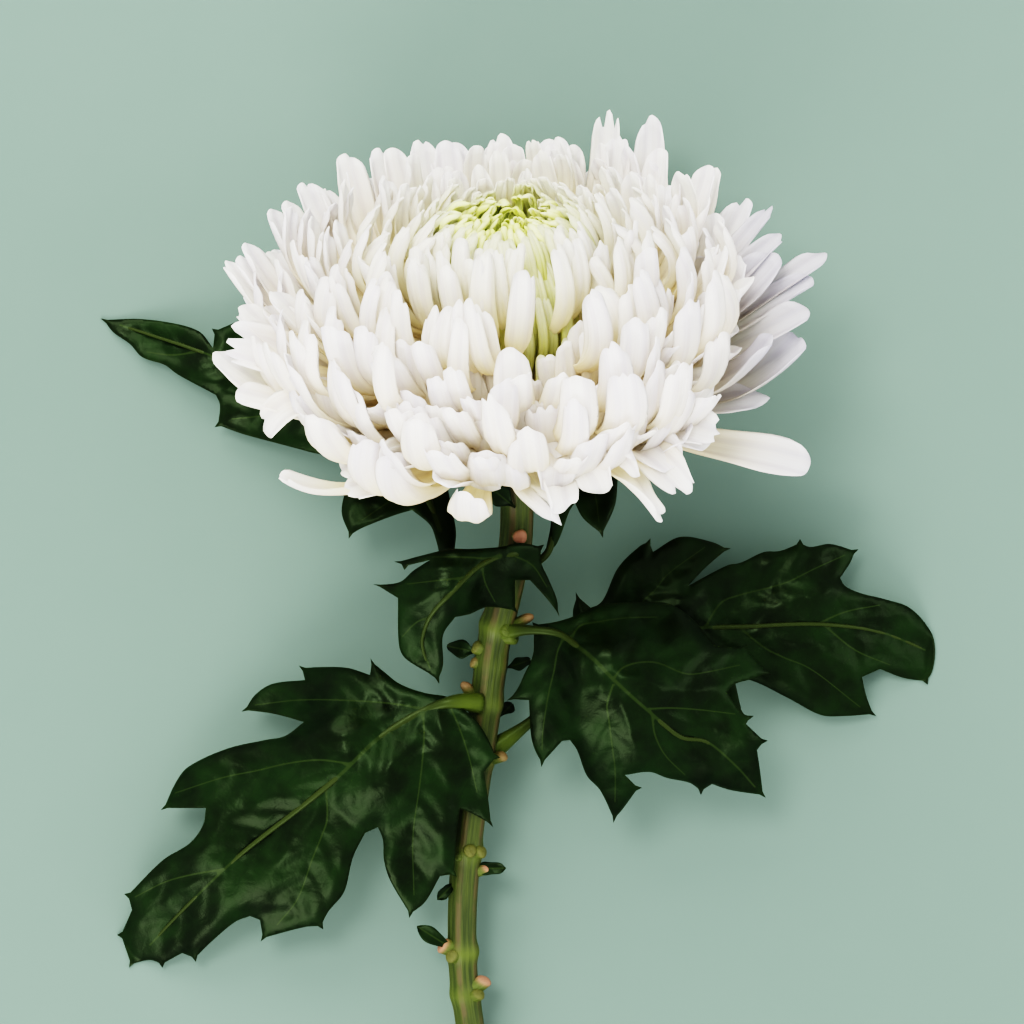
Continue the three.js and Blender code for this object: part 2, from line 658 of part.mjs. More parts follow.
const LOWER_LEFT_LEAF = {
  outline: [
    [-12.8, -37], [-17.4, -36.2], [-22.4, -34.4], [-25.8, -31.8], [-28, -30], [-28.4, -32.6],
    [-32.8, -31.2], [-37.4, -31], [-42, -31.2], [-41.4, -33.6], [-48, -34.4], [-51.4, -36.6],
    [-53.4, -39.6], [-47.4, -40.4], [-41.6, -42], [-45.4, -44.8], [-49.4, -45.6], [-57.2, -47.4],
    [-64.8, -51], [-67.2, -54], [-69.6, -59.2], [-61.2, -59.2], [-61.8, -62.6], [-64.4, -66.2],
    [-69.8, -69.6], [-76.8, -76.6], [-76, -79.6], [-78.2, -84.6], [-76.2, -90.4], [-72.4, -89.6],
    [-70, -90.4], [-66, -88.2], [-63.4, -89.2], [-60.4, -86.2], [-55.4, -82], [-52.4, -80.8],
    [-50.4, -81.6], [-49.8, -85.2], [-41.4, -83], [-38.2, -82.8], [-36.8, -80], [-33.6, -76],
    [-31.8, -69], [-29.4, -64.2], [-26.8, -63], [-25.8, -65.6], [-25.6, -69.6], [-24.4, -73.6],
    [-20.4, -80.4], [-17.4, -78], [-14.4, -72.8], [-11.6, -72.4], [-11, -63.6], [-10.4, -59.2],
    [-7.4, -60.6], [-4.2, -62.4], [-4.8, -57.2], [-5.6, -52], [-3.2, -49], [-5, -45], [-7.6, -41.2],
    [-10.8, -38.6],
  ],
  rib: [
    [-17.4, -39.6], [-26.4, -45], [-34.4, -52.6], [-42.4, -59.2], [-54.4, -68.6], [-66.4, -80.2],
    [-72.4, -86.6],
  ],
  stalk: [[-6.4, -38.2, 22], [-12, -38, 25]],
  heights: [
    [-12.8, -37.8, 26], [-34.4, -52.6, 27], [-54.4, -68.6, 19], [-76.2, -89.6, 0.1],
    [-53.4, -39.6, 12], [-42, -31.2, 14], [-69.6, -59.2, 11], [-49.8, -85.2, 12], [-20.4, -80.4, 16],
    [-4.2, -62.4, 22], [-26.8, -63, 23], [-64.4, -66.2, 17],
  ],
};

const FRONT_RIGHT_LEAF = {
  outline: [
    [4.6, -22.6], [8.6, -22], [12, -21], [15.6, -19.2], [18.6, -18.4], [25.6, -18], [31.6, -18.4],
    [36.4, -21.6], [38.6, -24.4], [40.8, -26.8], [46.6, -27.2], [49.2, -30], [51.2, -32.2],
    [47.2, -33.6], [44.6, -34.4], [43, -36], [45.8, -40], [47.6, -41], [46.8, -42.4], [50.4, -45.8],
    [49, -47.6], [49.6, -51.6], [50.2, -56.6], [43.6, -55.6], [40, -54.4], [37.8, -55.8],
    [35.6, -54.2], [31, -53.2], [27.6, -52], [22.6, -52.6], [25.2, -55.2], [22, -59.6], [20.4, -61.4],
    [17.6, -55.6], [15, -52.8], [13, -47.6], [11.6, -45.6], [10, -45.8], [8, -48], [6, -50.2],
    [4.6, -47.6], [3.8, -44.6], [3.4, -37.6], [-0.4, -37.4], [1.2, -35.2], [2.4, -32.6], [4.2, -28.6],
    [4.4, -24.8],
  ],
  rib: [
    [9.6, -24.4], [15.6, -28.8], [20.4, -33.6], [26.6, -39.2], [34.6, -45.4], [38.6, -45.8],
    [44.6, -50.6], [48.6, -55],
  ],
  stalk: [[-3, -24.2, 23], [3.6, -23.6, 28]],
  heights: [
    [5.2, -23.6, 29], [15.6, -28.8, 36], [26.6, -39.2, 36], [50.2, -56.6, 18], [25.6, -18, 29],
    [38.6, -24.4, 28], [51.2, -32.2, 25], [50.4, -45.8, 26], [20.4, -61.4, 18], [6, -50.2, 22],
    [-0.4, -37.4, 26], [37.8, -55.8, 22], [22.6, -52.6, 28],
  ],
};

const BACK_RIGHT_LEAF = {
  outline: [
    [14.6, -28.6], [12.2, -20.6], [13, -16.8], [16, -19.4], [18.2, -17.6], [21.2, -11.2], [25.6, -6.8],
    [27.4, -6], [28.2, -8], [33.6, -5], [40, -6], [43, -7.4], [38.6, -11.2], [35.2, -14.8],
    [43.2, -10.6], [45.6, -10.2], [50.4, -8], [53.6, -7.8], [57.6, -6.2], [59.6, -7], [63.6, -6.4],
    [68.6, -7.8], [67.6, -10.2], [65.6, -13.2], [66.6, -14.8], [69.6, -16.2], [74.4, -17.4],
    [79.6, -19.2], [83.8, -24], [84.6, -27.6], [84, -32], [82.8, -33.8], [78.4, -33.2], [73.6, -31.4],
    [70, -33], [70.8, -36.6], [72.2, -40.4], [66.6, -40.8], [61.8, -40.6], [55.2, -37.2],
    [47.6, -33.6], [44.6, -34], [46, -40.2], [37.6, -38.4], [25.6, -35.6], [17.6, -33.6],
  ],
  rib: [
    [19.6, -29.6], [29.6, -25.2], [37.6, -23.2], [45.6, -23], [60.6, -22.4], [73.6, -24],
    [82.6, -27.6],
  ],
  stalk: [[-4.4, -48, 15.5], [3.6, -42, 15.5], [12, -34.6, 13.5]],
  heights: [
    [15.6, -31.2, 13], [37.6, -23.2, 14], [60.6, -22.4, 13], [84, -28, 0.3], [13, -16.8, 14],
    [27.6, -6.6, 16], [43, -7.4, 13], [68.6, -7.8, 8], [72.2, -40.4, 3.5], [46, -40.2, 7],
    [57.6, -6.2, 12],
  ],
};

const CURLED_LEAF = {
  outline: [
    [5.8, -7], [1.6, -6.2], [-2.4, -7], [-8.4, -7.4], [-12.4, -7.4], [-18.4, -8.8], [-22.8, -10],
    [-21.4, -10.8], [-16.4, -9.6], [-19.8, -11.8], [-22.4, -14], [-27, -14.6], [-22.8, -17.2],
    [-22.6, -26.6], [-21.4, -29.2], [-16.4, -32.4], [-14.8, -33.6], [-13.8, -30.6], [-13.8, -24.6],
    [-11.4, -21], [-8.4, -20.4], [-5, -19], [0.6, -19.6], [0.6, -13.6], [3.6, -13.6], [7.2, -17.6],
    [9.2, -20.2], [9, -17.6], [7.4, -13.6], [5.8, -10],
  ],
  rib: [[-2.4, -8.8], [-6.4, -10.6], [-12, -16], [-16.4, -21], [-18, -26.6], [-16.4, -31.2]],
  stalk: [[2.8, -8.8, 30], [0.8, -8.2, 36]],
  heights: [
    [5.8, -7, 35], [1.6, -8.8, 37], [-6.4, -10.6, 41], [-12, -16, 43], [-17.6, -22.6, 38],
    [-14.8, -33.6, 31], [-22.8, -10, 36], [-27, -14.6, 37], [-22.6, -26.6, 33], [0.6, -19.6, 33],
    [9.2, -20.2, 29], [-5, -19, 35],
  ],
};

const UPPER_LEFT_LEAF = {
  outline: [
    [-14.4, -8.8], [-15.2, -5.6], [-16.4, -2.6], [-20, 0.4], [-23.4, -0.6], [-30, -3.2], [-32.4, -4.6],
    [-34, -0.6], [-33.8, 2.4], [-32, 7.6], [-35.4, 10.6], [-40.4, 12], [-46.4, 13.6], [-53.8, 15.6],
    [-58.8, 17.4], [-58.4, 21.4], [-59.2, 23.4], [-67, 27.6], [-69.4, 29.4], [-74, 31], [-76.4, 33.6],
    [-79.8, 36], [-81.6, 38.4], [-74.4, 38.6], [-67, 37.6], [-62.4, 36], [-59.8, 32.8], [-59.4, 36.2],
    [-53.8, 38.6], [-51.2, 33.6], [-47.4, 30], [-42.4, 29.2], [-34.4, 26.4], [-32, 22.8],
    [-26.4, 21.6], [-22.4, 16.4], [-16.4, 12], [-13.4, 6.4], [-12, 0.4], [-11.2, -4], [-11.6, -8.4],
  ],
  rib: [[-14.4, -3.6], [-18, 4.8], [-26.4, 14.4], [-42.4, 23.4], [-59.4, 31], [-78.4, 37.4]],
  stalk: [[-1.4, -12, 24], [-8.4, -10.8, 22], [-12.6, -8, 20]],
  heights: [
    [-13, -8, 20], [-18, 4.8, 16], [-34.4, 19.4, 12], [-59.4, 31, 8], [-81.6, 38.4, 0],
    [-32.4, -4.6, 16], [-58.8, 17.4, 6], [-53.8, 38.6, 5], [-47.4, 30, 7], [-13.4, 6.4, 14],
    [-26.4, 21.6, 9],
  ],
};

const UPPER_RIGHT_LEAF = {
  outline: [
    [6.6, -8.2], [7.6, -3.6], [8.2, 1.4], [9.6, 6.4], [12.6, 10], [17.6, 11.4], [23.6, 10],
    [21.2, 7.6], [20.6, 1.4], [18, -4.4], [14.2, -1.2], [12.6, 1.8], [11.6, 0.4], [8.8, -6.6],
  ],
  rib: [[8.8, -1.6], [11.6, 4.8], [15.6, 8.4], [20.6, 9.8]],
  stalk: [[0.2, -14, 25.5], [4, -10.8, 28], [7.2, -8, 29]],
  heights: [
    [7.2, -8, 29], [9.6, 1.4, 30], [13.6, 7.4, 30], [23.6, 10, 26], [18, -4.4, 33], [20.6, 2.4, 31],
  ],
};

const LEAVES = {
  leaf_lower_left: LOWER_LEFT_LEAF,
  leaf_front_right: FRONT_RIGHT_LEAF,
  leaf_back_right: BACK_RIGHT_LEAF,
  leaf_curled: CURLED_LEAF,
  leaf_upper_left: UPPER_LEFT_LEAF,
  leaf_upper_right: UPPER_RIGHT_LEAF,
};

// Small leaflets at the nodes: foot and tip as x, y and height, and the width.
const LEAFLETS = [
  [[-6.8, -28, 22], [-13, -26.8, 21], 3.4], [[-1.4, -31.2, 19], [3.6, -29.6, 16], 2.6],
  [[-7.6, -71.2, 12], [-1.2, -71.2, 14], 3], [[-12, -74.6, 12], [-15, -77.6, 14], 2.4],
  [[-12, -87.2, 11], [-19, -82.8, 13], 3.2], [[-2.4, -40.8, 17], [0, -38.4, 15], 2.4],
  [[0, 1.4, 35], [-5.2, 5.6, 38], 4],
];

const LEAFLET_ARCH = 0.8;

function leaflet([foot, tip, width]) {
  const [a, b] = [place(...foot), place(...tip)];
  const along = b.clone().sub(a);
  const across = v3().crossVectors(along, v3(0, 0, 1)).normalize();
  const rise = v3().crossVectors(across, along).normalize();
  const ring = (t, share) => {
    const arch = LEAFLET_ARCH * 4 * t * (1 - t);
    const centre = a.clone().addScaledVector(along, t).addScaledVector(rise, arch);
    return [
      centre.clone().addScaledVector(across, (-width * share) / 2),
      centre.clone().addScaledVector(rise, -0.7),
      centre.clone().addScaledVector(across, (width * share) / 2),
      centre.clone().addScaledVector(rise, 0.3),
    ];
  };
  const body = loft([ring(0, 0.3), ring(0.3, 0.45), ring(0.6, 1), ring(0.85, 0.7)], b);
  return biggest(body.subtract(STEM_CLEARANCE));
}

// Materials

const PETAL_WHITE = { color: "#f3efe6", roughness: 0.55 };
const EYE_GREEN = { color: "#d3dc8e", roughness: 0.6 };
const CALYX_GREEN = { color: "#5f7434", roughness: 0.6 };
const STEM_GREEN = { color: "#6f7a3a", roughness: 0.55 };
const LEAF_GREEN = { color: "#1f3a1b", roughness: 0.4 };

function mesh(name, solid, look) {
  const made = new THREE.Mesh(toGeometry(solid), new THREE.MeshStandardMaterial({ ...look, metalness: 0 }));
  made.name = name;
  return made;
}

const flower = new THREE.Group();
flower.position.set(DRAWING_X, DRAWING_Y, 0);
flower.add(
  mesh("ray_florets", rayFlorets(), PETAL_WHITE),
  mesh("centre_florets", centreFlorets(), EYE_GREEN),
  mesh("calyx", calyx(), CALYX_GREEN),
  mesh("stem", stem(), STEM_GREEN),
  ...Object.entries(LEAVES).map(([name, shape]) => mesh(name, leaf(shape), LEAF_GREEN)),
  ...LEAFLETS.map((shape, i) => mesh(`axil_leaflet_${i + 1}`, leaflet(shape), LEAF_GREEN)),
);

const part = new THREE.Group();
part.add(flower);
export default part;
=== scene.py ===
"""A cut white disbud chrysanthemum that lies on a table, seen from straight above.

Sizes are in millimetres and degrees. Points that are drawn from above, as [x, y] or [x, y, height], are
placed by place(), and every mesh is turned into metres when it is made.
"""

import math
from types import SimpleNamespace

import bpy
import numpy as np
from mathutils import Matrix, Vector, geometry, noise


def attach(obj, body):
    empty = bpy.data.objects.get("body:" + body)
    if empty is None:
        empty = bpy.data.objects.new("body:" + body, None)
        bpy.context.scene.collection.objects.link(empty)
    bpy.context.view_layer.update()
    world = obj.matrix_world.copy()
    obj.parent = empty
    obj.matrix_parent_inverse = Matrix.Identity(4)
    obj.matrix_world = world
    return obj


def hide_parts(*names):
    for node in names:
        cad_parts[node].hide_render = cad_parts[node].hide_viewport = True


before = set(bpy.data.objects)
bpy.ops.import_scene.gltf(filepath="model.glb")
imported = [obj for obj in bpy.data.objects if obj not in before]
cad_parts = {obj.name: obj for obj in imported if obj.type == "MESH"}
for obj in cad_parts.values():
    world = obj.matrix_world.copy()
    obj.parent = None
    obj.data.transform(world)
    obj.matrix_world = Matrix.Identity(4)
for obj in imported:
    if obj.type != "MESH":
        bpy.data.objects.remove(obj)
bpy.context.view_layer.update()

MM = 0.001

# Driving dimensions, as in the part's source
BLOOM_HEIGHT = 46  # the middle of the bloom above the table
BLOOM_TILT = 28  # the bloom's axis above the horizontal
BLOOM_LEAN = 3  # the bloom's axis leans to the left
RAY_WIDTH = 7.2  # an outer floret at its widest
STEM_RADIUS = 3.4
CUT_END_ANGLE = 35
CALYX_FOOT = -22.5
EYE_POINT = 1045  # height of the point that the flower is drawn from
DRAWN_HEIGHT = 45  # height at which it is drawn at its true size
DRAWING_X = -1.6
DRAWING_Y = 46.6
GOLDEN_ANGLE = 137.50776

# Counts and finer sizes of the scene's own
SPIRAL_COUNT = 372
INNER_ROWS = [[36, 14, 32], [34, 10.8, 31.6], [32, 8.4, 30.6]]  # count, reach, height
EYE_COUNT = 150
EYE_REACH = 10.2  # of the outermost young floret from the axis
FLORET_THICKNESS = 0.45
BLADE_THICKNESS = 0.4
LEAF_STEP = 0.62  # between the points of a leaf's surface
TABLE_CLEARANCE = 0.12

# The number from which the draws for tone, waves and notches start, for each kind of floret
SPIRAL_START = 200
INNER_START = 580
THROAT_START = 690
EYE_START = 720
BRACT_START = 900


# Numbers and points


def mix(a, b, t):
    return a + (b - a) * t


def smooth(a, b, t):
    s = np.clip((t - a) / (b - a), 0, 1)
    return s * s * (3 - 2 * s)


def draw(index, channel):
    """A repeatable draw between 0 and 1."""
    s = math.sin(index * 127.1 + channel * 311.7) * 43758.5453
    return s - math.floor(s)


def spread(index, channel):
    return 2 * draw(index, channel) - 1


def mound(distance, reach):
    """1 at no distance, and little past the reach."""
    return np.exp(-((distance / reach) ** 2))


def place(x, y, z):
    """A point drawn from above, at its height over the table, in the row frame."""
    scale = (EYE_POINT - z) / (EYE_POINT - DRAWN_HEIGHT)
    return np.stack([x * scale + DRAWING_X, y * scale + DRAWING_Y, z + 0 * x], -1)


def place_all(points):
    return place(*np.array(points, float).T)


def unit(v):
    return v / np.linalg.norm(v, axis=-1, keepdims=True)


def direction(degrees):
    return np.array([math.cos(math.radians(degrees)), math.sin(math.radians(degrees))])


def lookup(rows, key):
    """Linear interpolation in a list of [key, value, value, ...] rows."""
    table = np.array(rows, float)
    return [np.interp(key, table[:, 0], table[:, k]) for k in range(1, table.shape[1])]


# Meshes


class Parts:
    """Points, faces and fields of several solids, gathered for one mesh."""

    def __init__(self):
        self.points, self.faces, self.fields, self.count = [], [], {}, 0

    def add(self, points, faces, **fields):
        """Adds a solid. A field is one value, or values that fit the grid that the points lie in."""
        self.points.append(points.reshape(-1, 3))
        self.faces.extend(tuple(i + self.count for i in face) for face in faces)
        for name, value in fields.items():
            values = np.broadcast_to(value, points.shape[:-1]).reshape(-1)
            self.fields.setdefault(name, []).append(values)
        self.count += len(self.points[-1])

    def mesh(self, name):
        made = bpy.data.meshes.new(name)
        made.from_pydata((np.concatenate(self.points) * MM).tolist(), [], self.faces)
        for field, values in self.fields.items():
            attribute = made.attributes.new(field, "FLOAT", "POINT")
            attribute.data.foreach_set("value", np.concatenate(values).astype(np.float32))
        made.shade_smooth()
        made.update()
        return made


def add_object(name, data):
    made = bpy.data.objects.new(name, data)
    bpy.context.scene.collection.objects.link(made)
    return made


def add_piece(name, parts, material, slot, *nodes):
    mesh = parts.mesh(name)
    mesh.materials.append(material)
    piece = add_object(name, mesh)
    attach(piece, "root")
    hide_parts(*nodes)


def skin_faces(rings, sides):
    """Quads of a skin over rings of points, open at both ends."""
    corners = [(k * sides + j, k * sides + (j + 1) % sides) for k in range(rings - 1) for j in range(sides)]
    return [(a, a + sides, b + sides, b) for a, b in corners]


def tube_faces(rings, sides):
    """A skin whose ends are closed by one face each."""
    ends = [tuple(range(sides)), tuple((rings - 1) * sides + j for j in reversed(range(sides)))]
    return skin_faces(rings, sides) + ends


def strap_faces(rings, columns):
    """A skin over flat rings, whose ends are closed by a strip of faces each."""
    sides = 2 * columns
    faces = skin_faces(rings, sides)
    for start, step in ((0, 1), ((rings - 1) * sides, -1)):
        for j in range(columns):
            quad = [j, j + 1, (sides - j - 1) % sides, (sides - j) % sides]
            faces.append(tuple(start + i for i in dict.fromkeys(quad))[::step])
    return faces


def there_and_back(front, back=None):
    """Rows of values that cross a strap's front and come back over its back."""
    back = front if back is None else back
    return np.concatenate([front, back[:, -2:0:-1]], axis=1)


def above_table(points):
    points[..., 2] = np.maximum(points[..., 2], TABLE_CLEARANCE)
    return points


def hermite(a, b, start, end, t):
    return (
        (2 * t**3 - 3 * t**2 + 1) * a
        + (t**3 - 2 * t**2 + t) * start
        + (3 * t**2 - 2 * t**3) * b
        + (t**3 - t**2) * end
    )


def smooth_line(points, per_span=12):
    """A centripetal Catmull-Rom line through the points."""
    p = np.asarray(points, float)
    p = np.vstack([2 * p[0] - p[1], p, 2 * p[-1] - p[-2]])
    t = np.linspace(0, 1, per_span, endpoint=False)[:, None]
    line = []
    for k in range(1, len(p) - 2):
        a, b, c, d = p[k - 1 : k + 3]
        gaps = [math.sqrt(np.linalg.norm(q - o)) for o, q in ((a, b), (b, c), (c, d))]
        start = (b - a) / gaps[0] - (c - a) / (gaps[0] + gaps[1]) + (c - b) / gaps[1]
        end = (c - b) / gaps[1] - (d - b) / (gaps[1] + gaps[2]) + (d - c) / gaps[2]
        line.append(hermite(b, c, start * gaps[1], end * gaps[1], t))
    return np.vstack([*line, p[-2]])


def even_line(line, stations):
    """Points of a line at shares of its length."""
    steps = np.linalg.norm(np.diff(line, axis=0), axis=1)
    length = np.concatenate([[0], np.cumsum(steps)])
    at = np.asarray(stations) * length[-1]
    return np.stack([np.interp(at, length, line[:, k]) for k in range(line.shape[1])], -1)


def line_length(line):
    return np.linalg.norm(np.diff(line, axis=0), axis=1).sum()


def ring_shares(count):
    """Even shares of a length, a row for each ring."""
    return np.linspace(0, 1, count)[:, None]


def tube_frame(line):
    along = unit(np.gradient(line, axis=0))
    across = unit(np.cross(along, [0, 0, 1]))
    return along, across, np.cross(across, along)


def tube_rings(line, radius, angle, across, rise):
    """Rings of points about a line. The radius has a row for each ring and a column for each side."""
    circle = np.cos(angle)[..., None] * across[:, None] + np.sin(angle)[..., None] * rise[:, None]
    return line[:, None] + radius[..., None] * circle


def round_angles(sides, shift=0):
    return (2 * math.pi * (np.arange(sides) + shift) / sides)[None, :]


# The bloom's own frame: its axis, and directions round it. 0 is to the right and 90 towards the viewer.

LEAN, TILT = math.radians(BLOOM_LEAN), math.radians(BLOOM_TILT)
AXIS = np.array([-math.sin(LEAN), math.cos(TILT) * math.cos(LEAN), math.sin(TILT) * math.cos(LEAN)])
RIGHT = unit(np.array([1.0, 0, 0]) - AXIS[0] * AXIS)
FRONT = np.cross(RIGHT, AXIS)
HEART = place(0.4, 30, BLOOM_HEIGHT)


def radial(azimuth):
    c, s = direction(azimuth)
    return c * RIGHT + s * FRONT


# Florets. One is a strap with a crescent section, hollow side towards the eye, and nearly a tube at its foot.
# Its foot and tip are points of reach from the bloom's axis and height along it.

BENT_FROM = 5  # a floret that would pass below this height is bent along the table
BENT_TO = 0.4
ARC_SHARE = 1.12
NOTCH_WIDTH = 0.13
CREASES = 2.4
WAVES = 1.6
# Shares of a floret's length from which, or between which, it changes
HOOK_FROM = 0.8
TWIST_FROM = 0.5
HOOD_FROM = 0.84
THIN_FROM = 0.8
TUBE_OPENS = (0.08, 0.6)
CREASES_START = (0.25, 0.6)
# where the painted shade along the grooves starts
GROOVE_SHADE_START = (0.3, 0.6)
WAVES_START = (0.45, 0.85)
FLORET = {
    "base": (9, -9.5), "tip": (50, 0), "rise": 0, "end": 0, "handles": (0.4, 0.4),
    "width": 7, "opening": (0.15, 0.72), "foot_share": 0.32, "cup": 0.85, "tube": 1.9,
    "roll": 0, "twist": 0, "bend": 0, "hook": 0, "hood": 0.5, "wave": 0, "crease": 0.24,
    "point": 0.3, "tip_length": 0.08, "notches": (), "thickness": FLORET_THICKNESS,
    "rows": 24, "columns": 12, "depth": 0,
}


def pressed(z):
    reach = BENT_FROM - BENT_TO
    return np.where(z < BENT_FROM, BENT_TO + reach * np.exp(np.minimum(z - BENT_FROM, 0) / reach), z)


def bezier(a, b, c, d, t):
    t = t[..., None]
    point = (1 - t) ** 3 * a + 3 * (1 - t) ** 2 * t * b + 3 * (1 - t) * t**2 * c + t**3 * d
    slope = (1 - t) ** 2 * (b - a) + 2 * (1 - t) * t * (c - b) + t**2 * (d - c)
    return point, unit(slope)


def floret_reach(f, s):
    """The share of its length that the strap reaches, at places across it."""
    outline = mix(np.sqrt(1 - s**2), 1 - np.abs(s) ** 1.4, f.point)
    reach = 1 - f.tip_length * (1 - outline)
    for at, depth in f.notches:
        reach = reach - depth * mound(s - at, NOTCH_WIDTH)
    return reach


def floret_route(f, azimuth, t):
    """Points along the strap's middle, with the directions across it and out of its back."""
    foot, top = np.array(f.base, float), np.array(f.tip, float)
    first, last = np.array(f.handles) * np.linalg.norm(top - foot)
    point, slope = bezier(foot, foot + first * direction(f.rise), top - last * direction(f.end), top, t)
    out, side = radial(azimuth), radial(azimuth + 90)
    outward = slope[..., 1:] * out - slope[..., :1] * AXIS
    centre = HEART + point[..., :1] * out + point[..., 1:] * AXIS + (f.bend * t * t)[..., None] * side
    hooked = np.clip((t - HOOK_FROM) / (1 - HOOK_FROM), 0, 1) ** 2
    centre = centre - (f.hook * hooked)[..., None] * outward
    turn = np.radians(f.roll * t + f.twist * smooth(TWIST_FROM, 1, t))[..., None]
    across = np.cos(turn) * side + np.sin(turn) * outward
    return centre, across, np.cos(turn) * outward - np.sin(turn) * side


def floret_section(f, index, s, t):
    """The strap's width, and how far each place lies across it and out of its back."""
    width = f.width * ARC_SHARE * mix(f.foot_share, 1, smooth(*f.opening, t))
    half = mix(f.tube, f.cup, smooth(*TUBE_OPENS, t)) + f.hood * smooth(HOOD_FROM, 1, t)
    radius = width / (2 * half)
    crease = f.crease * np.cos(CREASES * math.pi * s) * smooth(*CREASES_START, t) * smooth(1, 0.75, np.abs(s))
    phase = 2 * math.pi * (WAVES * t + draw(index, 31) + 0.25 * np.sign(s))
    wave = f.wave * np.abs(s) ** 3 * np.sin(phase) * smooth(*WAVES_START, t)
    return width, radius * np.sin(half * s), radius * (np.cos(half * s) - np.cos(half)) - crease + wave


def floret(parts, index, azimuth, **given):
    f = SimpleNamespace(**{**FLORET, **given})
    s = np.linspace(-1, 1, f.columns + 1)[None, :]
    t = ring_shares(f.rows + 1) * floret_reach(f, s)
    centre, across, normal = floret_route(f, azimuth, t)
    width, x, y = floret_section(f, index, s, t)
    middle = centre + x[..., None] * across + y[..., None] * normal
    middle[..., 2] = pressed(middle[..., 2])

    faces_out = unit(np.cross(np.gradient(middle, axis=0), np.gradient(middle, axis=1)) + 1e-9)
    half_thick = f.thickness / 2 * (0.3 + 0.7 * (1 - s**4)) * mix(1, 0.5, smooth(THIN_FROM, 1, t))
    lift = half_thick[..., None] * faces_out
    lift[:, [0, -1]] = 0
    # The groove field marks the lines along the creases that the material darkens with painted shade
    groove = 0.5 - 0.5 * np.cos(CREASES * math.pi * s) * smooth(*GROOVE_SHADE_START, t)
    parts.add(
        there_and_back(middle + lift, middle - lift),
        strap_faces(f.rows + 1, f.columns),
        along=there_and_back(t),
        across=there_and_back(s * width / 2),
        groove=there_and_back(groove),
        tone=draw(index, 32),
        depth=f.depth,
    )


